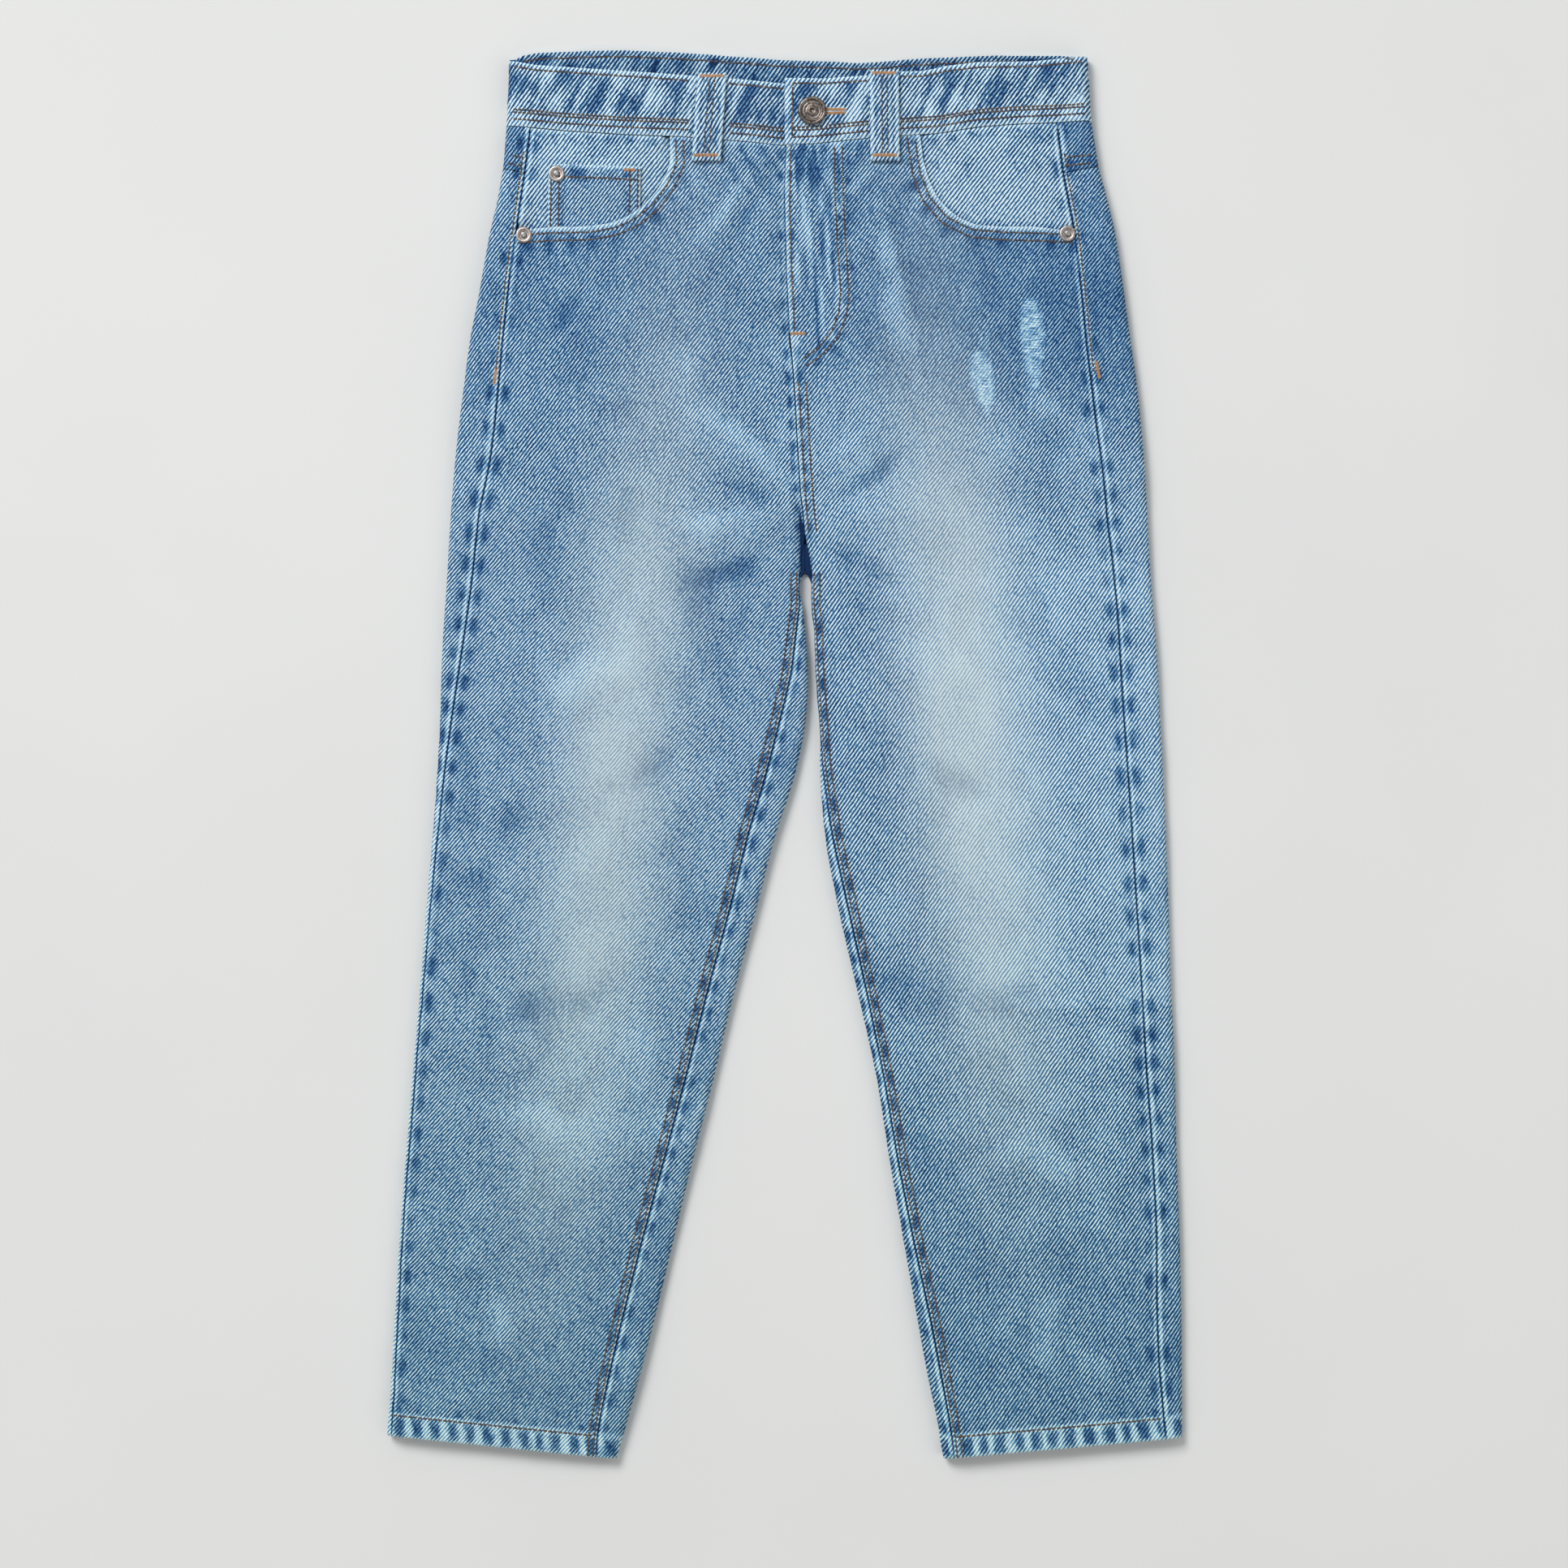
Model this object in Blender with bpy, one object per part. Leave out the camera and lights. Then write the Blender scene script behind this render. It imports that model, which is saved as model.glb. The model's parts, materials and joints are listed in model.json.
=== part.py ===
"""Mom jeans laid flat on their back, waist towards +Y, wearer's right side at -X. Tables are in mm."""

import math
import bmesh
import bpy
import numpy as np
from mathutils import Vector

MM = 0.001
MIDDLE = (-0.6, 1.45, 0.0)
CLOTH = 1.2
FORK_WALL = 1.0
FACING_UNDER = 14.0
BAND = 2.4
SEAM = 0.3
POCKET_LIFT = 1.8
BAND_FOLD = 6.4
LOOP_WALL = 1.5
HEM_WALL = 2.2
BUTTON_WIDTH = 17.0
RIVET_WIDTH = 9.5
SHANK_WIDTH = 4.0

# One row per section, waist to hem: y at the outer fold, y at the inner edge, x of the outer fold,
# outseam to outer fold, x of the centre seam or inner fold, inner fold to inseam.
RIGHT = [
    (376.1, 363.0, -166.7, 14.7, 0.7, 0.0),
    (352.4, 347.5, -168.5, 13.3, 0.0, 0.0),
    (333.0, 330.5, -171.9, 13.9, -0.2, 0.0),
    (314.0, 284.5, -176.3, 15.5, 1.1, 0.0),
    (289.3, 265.1, -180.9, 16.6, 2.1, 0.0),
    (272.3, 252.0, -183.9, 17.9, 2.8, 0.0),
    (250.5, 236.0, -188.3, 19.8, 4.3, 0.0),
    (223.8, 214.1, -191.9, 21.0, 6.0, 0.0),
    (197.2, 192.3, -195.2, 21.8, 7.1, 0.0),
    (172.9, 171.4, -197.8, 21.1, 8.4, 0.0),
    (155.9, 155.9, -199.2, 18.9, 9.5, 0.0),
    (145.3, 145.3, -200.0, 17.3, 10.9, 0.0),
    (133.6, 133.6, -200.7, 16.7, 11.9, 0.0),
    (122.0, 122.0, -201.5, 16.2, 10.4, 0.0),
    (109.9, 109.9, -202.1, 15.5, 8.6, 0.0),
    (101.8, 101.6, -202.6, 15.1, 8.6, 0.0),
    (91.0, 90.5, -203.4, 14.4, 10.3, 1.5),
    (74.4, 73.5, -204.6, 13.2, 12.1, 5.6),
    (50.8, 49.2, -205.7, 10.7, 13.6, 10.1),
    (22.5, 20.1, -206.6, 7.3, 12.1, 15.5),
    (-5.8, -9.0, -208.1, 5.0, 6.4, 17.3),
    (-43.6, -47.8, -210.7, 3.4, -5.9, 16.4),
    (-86.1, -91.4, -214.4, 2.4, -17.2, 15.8),
    (-133.3, -139.9, -218.2, 2.0, -30.1, 16.0),
    (-185.2, -193.3, -222.6, 2.0, -42.9, 16.7),
    (-232.4, -241.8, -226.6, 2.0, -55.2, 17.1),
    (-279.6, -290.3, -230.2, 2.0, -66.9, 18.5),
    (-326.9, -338.8, -233.2, 2.2, -78.6, 19.0),
    (-359.9, -372.7, -235.0, 2.4, -87.5, 18.0),
    (-390.6, -404.2, -236.9, 2.6, -96.2, 15.5),
    (-394.4, -408.1, -237.2, 2.6, -97.3, 14.9),
    (-405.7, -419.8, -238.3, 3.4, -100.8, 12.0),
]
LEFT = [
    (379.3, 363.0, 183.1, 20.9, 0.7, 0.0),
    (352.4, 347.5, 187.2, 21.5, 0.0, 0.0),
    (333.0, 330.5, 192.5, 23.0, -0.2, 0.0),
    (314.0, 284.5, 197.0, 24.0, 1.1, 0.0),
    (289.3, 265.1, 200.9, 25.3, 2.1, 0.0),
    (272.3, 252.0, 203.3, 25.7, 2.8, 0.0),
    (250.5, 236.0, 206.3, 26.8, 4.3, 0.0),
    (223.8, 214.1, 210.2, 27.5, 6.0, 0.0),
    (197.2, 192.3, 212.9, 27.2, 7.1, 0.0),
    (172.9, 171.4, 215.0, 25.9, 8.4, 0.0),
    (155.9, 155.9, 216.1, 25.1, 9.5, 0.0),
    (145.3, 145.3, 216.6, 24.7, 10.9, 0.0),
    (133.6, 133.6, 217.2, 24.0, 11.9, 0.0),
    (122.0, 122.0, 217.9, 23.1, 13.7, 0.0),
    (109.9, 109.9, 218.6, 22.5, 15.6, 0.0),
    (101.8, 101.6, 219.1, 22.2, 15.5, 0.0),
    (90.9, 90.5, 220.0, 22.0, 15.5, 0.0),
    (74.3, 73.5, 221.4, 22.2, 17.1, 0.0),
    (50.7, 49.2, 223.0, 22.4, 18.0, 0.0),
    (22.3, 20.1, 224.4, 22.0, 20.2, 0.0),
    (-6.1, -9.0, 225.9, 21.4, 20.8, 1.6),
    (-44.0, -47.8, 227.7, 20.6, 23.8, 4.5),
    (-86.6, -91.4, 229.4, 19.5, 31.8, 6.0),
    (-134.0, -139.9, 230.8, 18.1, 42.9, 5.5),
    (-186.1, -193.3, 233.1, 17.3, 54.7, 4.5),
    (-233.4, -241.8, 234.2, 14.9, 62.4, 5.0),
    (-280.7, -290.3, 235.8, 14.0, 70.8, 6.1),
    (-328.1, -338.8, 237.0, 14.9, 79.4, 7.8),
    (-361.2, -372.7, 237.3, 14.1, 85.6, 8.0),
    (-392.1, -404.2, 237.4, 11.5, 92.0, 7.2),
    (-395.9, -408.1, 237.4, 11.3, 92.5, 7.2),
    (-407.2, -419.8, 237.4, 9.9, 94.6, 6.4),
]
FIRST_FULL = 3
CROTCH = 12
SADDLE = 14

# Fold radius, height of the dome over both hips, height of the dome over each leg, by y.
HEIGHTS = [
    (420.0, 6.2, 4.4, 0.0),
    (360.0, 6.0, 4.5, 0.0),
    (250.0, 5.8, 4.4, 0.0),
    (170.0, 5.4, 2.6, 0.2),
    (134.0, 5.0, 1.2, 0.5),
    (110.0, 4.8, 0.0, 0.8),
    (40.0, 4.6, 0.0, 1.5),
    (-120.0, 4.5, 0.0, 1.6),
    (-300.0, 4.6, 0.0, 1.3),
    (-395.0, 5.2, 0.0, 0.9),
    (-425.0, 5.2, 0.0, 0.9),
]
# Depth of the groove along the centre seam, by y.
GROOVE = [(400.0, 0.0), (173.0, 0.0), (156.0, 0.8), (145.0, 3.0), (133.6, 5.4), (90.0, 5.4)]
# Right front's dip under the fly and its lap past the centre seam, by y at the centre.
FLY = [(400.0, 3.0, 6.0), (265.0, 3.0, 6.0), (252.0, 3.0, -0.3), (236.0, 0.0, -0.3), (200.0, 0.0, -0.3)]

# Bottom edge of the band in front, its top edge right and left, and the top edge of its back: x, y.
BAND_LOW = [
    (-190.0, 377.6), (-167.1, 376.1), (-152.0, 374.9), (-131.2, 372.7), (-96.3, 370.3), (-61.8, 368.8),
    (-37.1, 366.9), (-2.7, 364.0), (17.2, 364.5), (50.2, 367.9), (68.6, 369.3), (91.4, 370.8),
    (114.2, 374.7), (137.5, 376.6), (160.8, 377.6), (183.1, 379.3), (195.0, 380.0),
]
BAND_TOP_RIGHT = [
    (-175.0, 415.4), (-164.7, 414.9), (-148.7, 412.0), (-110.3, 409.1), (-82.7, 407.2), (-52.1, 404.7),
    (-33.2, 403.3), (-14.3, 401.6), (0.0, 400.8), (40.0, 400.4),
]
BAND_TOP_LEFT = [
    (0.0, 403.6), (22.1, 403.3), (49.7, 405.2), (63.3, 407.4), (81.7, 407.8), (96.8, 411.0), (114.2, 413.3),
    (146.7, 413.9), (179.7, 417.4), (190.0, 418.0),
]
BAND_BACK = [
    (-175.0, 415.4), (-164.7, 416.4), (-156.9, 419.8), (-148.7, 421.5), (-131.2, 422.2), (-96.3, 422.7),
    (-47.8, 420.7), (-3.6, 416.9), (44.9, 415.4), (81.7, 417.8), (128.3, 419.8), (165.6, 419.8),
    (179.7, 418.3), (190.0, 418.0),
]
# Scooped pocket edges from band to outseam: x, y.
SCOOP_RIGHT = [
    (-68.6, 369.6), (-68.1, 353.3), (-73.0, 342.2), (-80.3, 332.0), (-90.9, 323.3), (-102.1, 317.9),
    (-117.6, 315.5), (-139.4, 315.2), (-160.8, 314.0),
]
SCOOP_LEFT = [
    (80.3, 370.6), (83.7, 348.0), (89.0, 334.4), (98.2, 323.7), (111.8, 316.9), (132.6, 315.3),
    (153.0, 315.0), (173.0, 314.0),
]
# Yoke seam on the back: y at the outer fold and at centre back.
YOKE_SEAM = {-1: (350.6, 312.0), 1: (352.0, 312.0)}
CENTRE_BACK = 5.0

LOOPS = [
    ("belt_loop_front_right", -43.4, 406.4, -47.0, 353.8, 1),
    ("belt_loop_front_left", 58.9, 408.2, 59.4, 353.8, 1),
    ("belt_loop_back_right", -92.0, 421.6, -90.0, 372.0, -1),
    ("belt_loop_back_left", 100.0, 417.6, 98.0, 372.0, -1),
    ("belt_loop_centre", 4.0, 415.4, 4.5, 366.0, -1),
]
LOOP_WIDTH = 17.5
BUTTON_AT = (16.0, 383.7)
BUTTONHOLE_END = 35.6
RIVETS = [("rivet_right", -155.9, 310.6), ("rivet_left", 168.2, 311.4), ("rivet_coin", -136.2, 346.9)]
COIN = ((-140.9, 352.8), (-86.1, 350.9), (-86.6, 304.0), (-142.0, 302.6))
BACK_POCKETS = {
    -1: ((-137.0, 289.0), (-34.0, 281.0), (-36.0, 184.0), (-87.0, 163.0), (-138.0, 192.0)),
    1: ((147.0, 289.0), (44.0, 281.0), (46.0, 184.0), (97.0, 163.0), (148.0, 192.0)),
}

DENIM = (0.232, 0.340, 0.500, 1.0)
DENIM_PALE = (0.300, 0.420, 0.560, 1.0)
DENIM_INNER = (0.420, 0.520, 0.610, 1.0)
BAG_CLOTH = (0.780, 0.760, 0.700, 1.0)
BRASS_OLD = (0.160, 0.120, 0.100, 1.0)
COPPER = (0.560, 0.330, 0.260, 1.0)


def material(name, colour, roughness=0.9, metallic=0.0):
    """A plain material with these values."""
    made = bpy.data.materials.new(name)
    made.use_nodes = True
    shader = made.node_tree.nodes["Principled BSDF"]
    shader.inputs["Base Color"].default_value = colour
    shader.inputs["Roughness"].default_value = roughness
    shader.inputs["Metallic"].default_value = metallic
    return made


def solid(name, points, faces, look):
    """One closed mesh object from points in mm, with its faces turned outwards."""
    shape = bmesh.new()
    corners = [shape.verts.new((Vector(point) - Vector(MIDDLE)) * MM) for point in points]
    for face in faces:
        if len(set(face)) > 2:
            shape.faces.new([corners[index] for index in face])
    bmesh.ops.recalc_face_normals(shape, faces=shape.faces)
    mesh = bpy.data.meshes.new(name)
    shape.to_mesh(mesh)
    shape.free()
    made = bpy.data.objects.new(name, mesh)
    bpy.context.scene.collection.objects.link(made)
    mesh.materials.append(look)
    return made


def shell(name, points, inward, faces, look):
    """Cloth: an outer skin, the same skin moved inwards, and a rim along every free edge."""
    count = len(points)
    sides = {}
    for face in faces:
        for start, end in zip(face, face[1:] + face[:1]):
            sides[(start, end)] = sides.get((start, end), 0) + 1
    rim = [(a, b, b + count, a + count) for a, b in sides if (b, a) not in sides]
    inner = [tuple(index + count for index in reversed(face)) for face in faces]
    moved = [tuple(np.add(point, move)) for point, move in zip(points, inward)]
    return solid(name, list(points) + moved, list(faces) + inner + [side[::-1] for side in rim], look)


def grid_faces(rows, columns):
    """Quads of a grid of points kept row by row."""
    return [
        (row * columns + column, row * columns + column + 1, (row + 1) * columns + column + 1,
         (row + 1) * columns + column)
        for row in range(rows - 1)
        for column in range(columns - 1)
    ]


def grid_shell(name, grid, inward, look):
    """A cloth sheet from a grid of points and the moves to its inner skin."""
    rows, columns = grid.shape[:2]
    moves = np.broadcast_to(np.asarray(inward, float), grid.shape)
    flat, steps = grid.reshape(-1, 3).tolist(), moves.reshape(-1, 3).tolist()
    return shell(name, flat, steps, grid_faces(rows, columns), look)


def between(table, at, column=1):
    """Value of a table's column at this place, with straight steps."""
    rows = sorted(table)
    return float(np.interp(at, [row[0] for row in rows], [row[column] for row in rows]))


def table_of(side):
    return RIGHT if side < 0 else LEFT


def outer_x(side, y):
    return float(np.interp(-y, [-row[0] for row in table_of(side)], [row[2] for row in table_of(side)]))


def outseam_x(side, y):
    rows = table_of(side)
    return outer_x(side, y) - side * float(np.interp(-y, [-row[0] for row in rows], [row[3] for row in rows]))


def centre_x(y):
    """Centre front seam, down to the crotch point."""
    upper = RIGHT[: CROTCH + 1]
    return float(np.interp(-y, [-row[1] for row in upper], [row[4] for row in upper]))


def bump(amount):
    """Soft step from 1 at the middle to 0 at the edge."""
    return math.cos(0.5 * math.pi * min(abs(amount), 1.0)) ** 2


def dome(side, x, y, inner=None):
    """Height above the fold's top, over the hips and along each leg."""
    edge = outer_x(side, y)
    middle = CENTRE_BACK
    hips = between(HEIGHTS, y, 2) * max(0.0, 1.0 - ((x - middle) / (edge - middle)) ** 2)
    if inner is None:
        rows = table_of(side)
        inner = float(np.interp(-y, [-row[1] for row in rows], [row[4] for row in rows]))
    share = 2.0 * (x - inner) / (edge - inner) - 1.0
    return hips + between(HEIGHTS, y, 3) * max(0.0, 1.0 - share * share)


def lift(x, y):
    """Rise of the underside over the back pockets and the loops, so that they lie flat."""
    total = 0.0
    for side in (-1, 1):
        centre = -87.0 if side < 0 else 97.0
        over = max(abs(x - centre) - 64.0, 0.0) + max(y - 300.0, 150.0 - y, 0.0)
        total = max(total, bump(over / 14.0))
    for _, high_x, _, low_x, low_y, face in LOOPS:
        if face < 0:
            over = max(abs(x - 0.5 * (high_x + low_x)) - 24.0, 0.0) + max(low_y - 8.0 - y, 0.0)
            total = max(total, bump(over / 14.0))
    return POCKET_LIFT * total


def outside_scoop(side, x, y):
    """Distance from the pocket edge, positive towards the hip."""
    edge = SCOOP_RIGHT if side < 0 else SCOOP_LEFT
    best, sign = 1e9, 1.0
    for (ax, ay), (bx, by) in zip(edge, edge[1:]):
        along = ((x - ax) * (bx - ax) + (y - ay) * (by - ay)) / ((bx - ax) ** 2 + (by - ay) ** 2)
        along = min(max(along, 0.0), 1.0)
        gap = math.hypot(x - ax - along * (bx - ax), y - ay - along * (by - ay))
        if gap < best - 1e-9:
            best = gap
            turn = (bx - ax) * (y - ay) - (by - ay) * (x - ax)
            sign = 1.0 if turn * side > 0 else -1.0
    return best * sign


def top_z(side, x, y):
    """Outer surface of the front at any place over the hips, before the dip of the fly."""
    radius = between(HEIGHTS, y, 1)
    inset = abs(x - outer_x(side, y))
    rise = radius if inset >= radius else math.sqrt(max(radius**2 - (radius - inset) ** 2, 0.0))
    groove = between(GROOVE, y) * bump((x - centre_x(y)) / 8.0)
    return radius + rise + dome(side, x, y) * min(inset / radius, 1.0) - groove


def fly_dip(side, x, y):
    if side > 0:
        return 0.0
    return between(FLY, y, 1) * bump(min(x - centre_x(y) + 1.0, 0.0) / 16.0)


def waist_y(x):
    """Front waist seam."""
    return between(BAND_LOW, x) - SEAM


def wall_at(row, rows):
    return HEM_WALL if row >= rows - 2 else CLOTH


def across(start, end, side, columns):
    """Places across a front over the hips, closer together by the centre seam."""
    near = end + side * 24.0
    return np.concatenate([np.linspace(start, near, columns - 6), np.linspace(near, end, 7)[1:]])


def top_slope(side, y_out):
    """Fall of a section's line from the outer fold inwards."""
    rows = table_of(side)
    slopes = [-0.1, -0.2, -0.18] + [(row[1] - row[0]) / abs(row[4] - row[2]) for row in rows[FIRST_FULL:]]
    return float(np.interp(-y_out, [-row[0] for row in rows], slopes))


def arc_places(start, end, bend, ends, turns):
    """Places along a fold: a few from the seam to where the bend starts, then evenly round it."""
    turn = min(bend, 0.7 * start)
    return np.concatenate([np.linspace(start, turn, ends + 1)[:-1], np.linspace(turn, end, turns + 1)])


def fold_point(place, radius):
    """Inset, height and outward direction at an arc length from a fold's middle, positive on top."""
    angle = max(min(place / radius, 0.5 * math.pi), -0.5 * math.pi)
    past = max(abs(place) - 0.5 * math.pi * radius, 0.0)
    inset = radius * (1.0 - math.cos(angle)) + past
    return inset, radius * (1.0 + math.sin(angle)), (math.cos(angle), math.sin(angle))


def seam_place(distance, radius):
    """Arc length from a fold's middle to a seam this far in from it."""
    if distance >= radius:
        return 0.5 * math.pi * radius + distance - radius
    return radius * math.acos(1.0 - distance / radius)


def line_y(row, x):
    """Height of a section's line at x."""
    share = (x - row[2]) / (row[4] - row[2])
    return row[0] + (row[1] - row[0]) * share


def front_rows(side, columns=15):
    """Outer skin of a front panel and the direction into the cloth, row by row."""
    rows = table_of(side)
    scoop = SCOOP_RIGHT if side < 0 else SCOOP_LEFT
    reach = np.cumsum([0.0] + [math.dist(a, b) for a, b in zip(scoop, scoop[1:])])
    starts = (0.0, 0.16, 0.34, 0.52, 0.68, 0.84)
    inner_lines = (0.0, 349.0, 334.0, 318.0, 305.0, 294.0)
    points, inward = [], []
    for number, share in enumerate(starts):
        at = share * reach[-1]
        start = (np.interp(at, reach, [p[0] for p in scoop]), np.interp(at, reach, [p[1] for p in scoop]))
        y_end = inner_lines[number] or waist_y(centre_x(363.0))
        x_end = centre_x(y_end) + end_gap(side, y_end)
        line = []
        for x in across(start[0], x_end, side, columns):
            share = (x - start[0]) / (x_end - start[0])
            y = start[1] + (y_end - start[1]) * share if number else waist_y(x)
            line.append((x, y, top_z(side, x, y) - fly_dip(side, x, y)))
        points.append(line)
        inward.append([(0.0, 0.0, -CLOTH)] * columns)
    for number in range(FIRST_FULL, len(rows)):
        line, moves = front_section(side, number, columns)
        points.append(line)
        inward.append(moves)
    return np.array(points), np.array(inward)


def end_gap(side, y):
    """Where a front ends beside the centre seam: the right one laps under the left along the fly."""
    return 0.5 * SEAM if side > 0 else (between(FLY, y, 2) if between(FLY, y, 2) > 0 else -0.5 * SEAM)


def front_section(side, number, columns):
    rows = table_of(side)
    row = rows[number]
    radius = between(HEIGHTS, row[0], 1)
    wall = wall_at(number, len(rows))
    outer = seam_place(row[3], radius) + 0.5 * SEAM
    width = abs(row[4] - row[2])
    line, moves = [], []
    if number >= SADDLE:
        whole = width - 2.0 * radius + math.pi * radius
        inner = seam_place(row[5], radius) + 0.5 * SEAM if row[5] > 0 else 0.5 * SEAM
        first = max(outer, 0.5 * math.pi * radius)
        last = max(inner, 0.5 * math.pi * radius)
        side_a = np.linspace(outer, first + 1.0, 3)
        side_b = np.linspace(whole - last - 1.0, whole - inner, 4)
        places = np.concatenate([side_a, np.linspace(side_a[-1], side_b[0], columns - 5)[1:-1], side_b])
        for place in places:
            if place < 0.5 * whole:
                inset, height, (away, up) = fold_point(place, radius)
                x = row[2] - side * inset
                away *= side
            else:
                inset, height, (away, up) = fold_point(whole - place, radius)
                x = row[4] + side * inset
                away *= -side
            y = line_y(row, x)
            line.append((x, y, height + dome(side, x, y, row[4]) * up * min(inset / radius, 1.0)))
            moves.append((-away * wall, 0.0, -up * wall))
        return line, moves
    end = row[4] + end_gap(side, row[1])
    if number > CROTCH:
        end = centre_x(row[1]) + 0.5 * side * SEAM
    start = row[2] - side * fold_point(outer, radius)[0]
    for x in across(start, end, side, columns):
        y = line_y(row, x)
        z = top_z(side, x, y) - fly_dip(side, x, y)
        slope = (top_z(side, x + 0.2, y) - top_z(side, x - 0.2, y)) / 0.4
        slope += 0.0 if side > 0 else (fly_dip(side, x - 0.2, y) - fly_dip(side, x + 0.2, y)) / 0.4
        long = math.hypot(slope, 1.0)
        line.append((x, y, z))
        moves.append((slope / long * wall, 0.0, -wall / long))
    if number > CROTCH:
        share = (number - CROTCH) / (SADDLE - CROTCH)
        saddle, turned = front_section(side, SADDLE, columns)
        shift = row[1] - rows[SADDLE][1]
        for index in range(columns):
            turn = share * bump(min(index - 10.0, 0.0) / 5.0)
            target = np.add(saddle[index], (0.0, shift, 0.0))
            line[index] = tuple((1.0 - turn) * np.array(line[index]) + turn * target)
            move = (1.0 - turn) * np.array(moves[index]) + turn * np.array(turned[index])
            moves[index] = tuple(move / np.linalg.norm(move) * wall)
    return line, moves


def back_line(side, y_out, y_centre, x_centre, seam, radius, columns, waist=False):
    """Underside of the hips at one line: from the outseam round the outer fold to centre back."""
    edge = outer_x(side, y_out)
    start = seam_place(seam, radius) - 0.5 * SEAM
    places = arc_places(start, -0.5 * math.pi * radius, 0.5 * math.pi * radius, 2, 5)
    line, moves = [], []
    for place in places:
        inset, height, (away, up) = fold_point(place, radius)
        x = edge - side * inset
        y = y_out + top_slope(side, y_out) * inset if place > 0 else y_out
        if waist and place > 0:
            y = waist_y(x)
        extra = dome(side, x, y) * max(up, 0.0) * min(inset / radius, 1.0)
        line.append((x, y, height + extra + (lift(x, y) if place < -0.4 * math.pi * radius else 0.0)))
        moves.append((-away * side * CLOTH, 0.0, -up * CLOTH))
    last = line[-1][0]
    for step in np.linspace(0.0, 1.0, columns + 1)[1:]:
        x = last + (x_centre - last) * step
        y = y_out + (y_centre - y_out) * (x - last) / (x_centre - last)
        line.append((x, y, lift(x, y)))
        moves.append((0.0, 0.0, CLOTH))
    return line, moves


def back_rows(side, columns=9):
    """Outer skin of a back panel down to the saddle, then its leg rows."""
    rows = table_of(side)
    points, inward = [], []
    yoke_out, yoke_in = YOKE_SEAM[side]
    y_outs = [yoke_out - SEAM, 332.0] + [row[0] for row in rows[FIRST_FULL : SADDLE + 1]]
    centres = [yoke_in - SEAM, 300.0, 288.0, 268.0, 253.0, 236.0, 214.0]
    centres += [192.0, 171.0, 156.0, 145.0, 134.0, 123.0, 113.0]
    for y_out, y_centre in zip(y_outs, centres):
        radius = between(HEIGHTS, y_out, 1)
        seam = abs(outer_x(side, y_out) - outseam_x(side, y_out))
        centre = CENTRE_BACK if y_centre > 170.0 else CENTRE_BACK + (170.0 - y_centre) * 0.12
        centre += 0.5 * side * SEAM
        line, moves = back_line(side, y_out, y_centre, centre, seam, radius, columns)
        points.append(line)
        inward.append(moves)
    for number in range(SADDLE + 1, len(rows)):
        row = rows[number]
        radius = between(HEIGHTS, row[0], 1)
        wall = wall_at(number, len(rows))
        start = seam_place(row[3], radius) - 0.5 * SEAM
        line, moves = [], []
        for place in arc_places(start, -0.5 * math.pi * radius, 0.5 * math.pi * radius, 2, 5):
            inset, height, (away, up) = fold_point(place, radius)
            x = row[2] - side * inset
            y = line_y(row, x)
            line.append((x, y, height + dome(side, x, y, row[4]) * max(up, 0.0) * min(inset / radius, 1.0)))
            moves.append((-away * side * wall, 0.0, -up * wall))
        last = line[-1][0]
        for step in np.linspace(0.0, 1.0, columns + 1)[1:]:
            x = last + (row[4] + side * radius - last) * step
            line.append((x, line_y(row, x), 0.0))
            moves.append((0.0, 0.0, wall))
        points.append(line)
        inward.append(moves)
    return np.array(points), np.array(inward)


# Crotch fork, from the underside round the saddle to the crotch point: y and z on the centre back
# seam, y on the inseam.
FORK = [
    (110.4, 0.6, 104.3),
    (109.0, 2.4, 107.0),
    (110.4, 4.2, 109.6),
    (113.3, 4.8, 112.6),
    (117.8, 4.9, 117.4),
    (122.6, 5.0, 122.4),
    (126.6, 5.1, 126.6),
]


def front_end(side, y):
    """A front's last point near the crotch and its direction into the cloth, at any y."""
    ends = [front_section(side, number, 15) for number in range(CROTCH, SADDLE + 2)]
    places = [-line[-1][1] for line, _ in ends]
    point = [np.interp(-y, places, [line[-1][axis] for line, _ in ends]) for axis in range(3)]
    move = np.array([np.interp(-y, places, [moves[-1][axis] for _, moves in ends]) for axis in range(3)])
    return np.array(point), move / np.linalg.norm(move)


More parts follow.
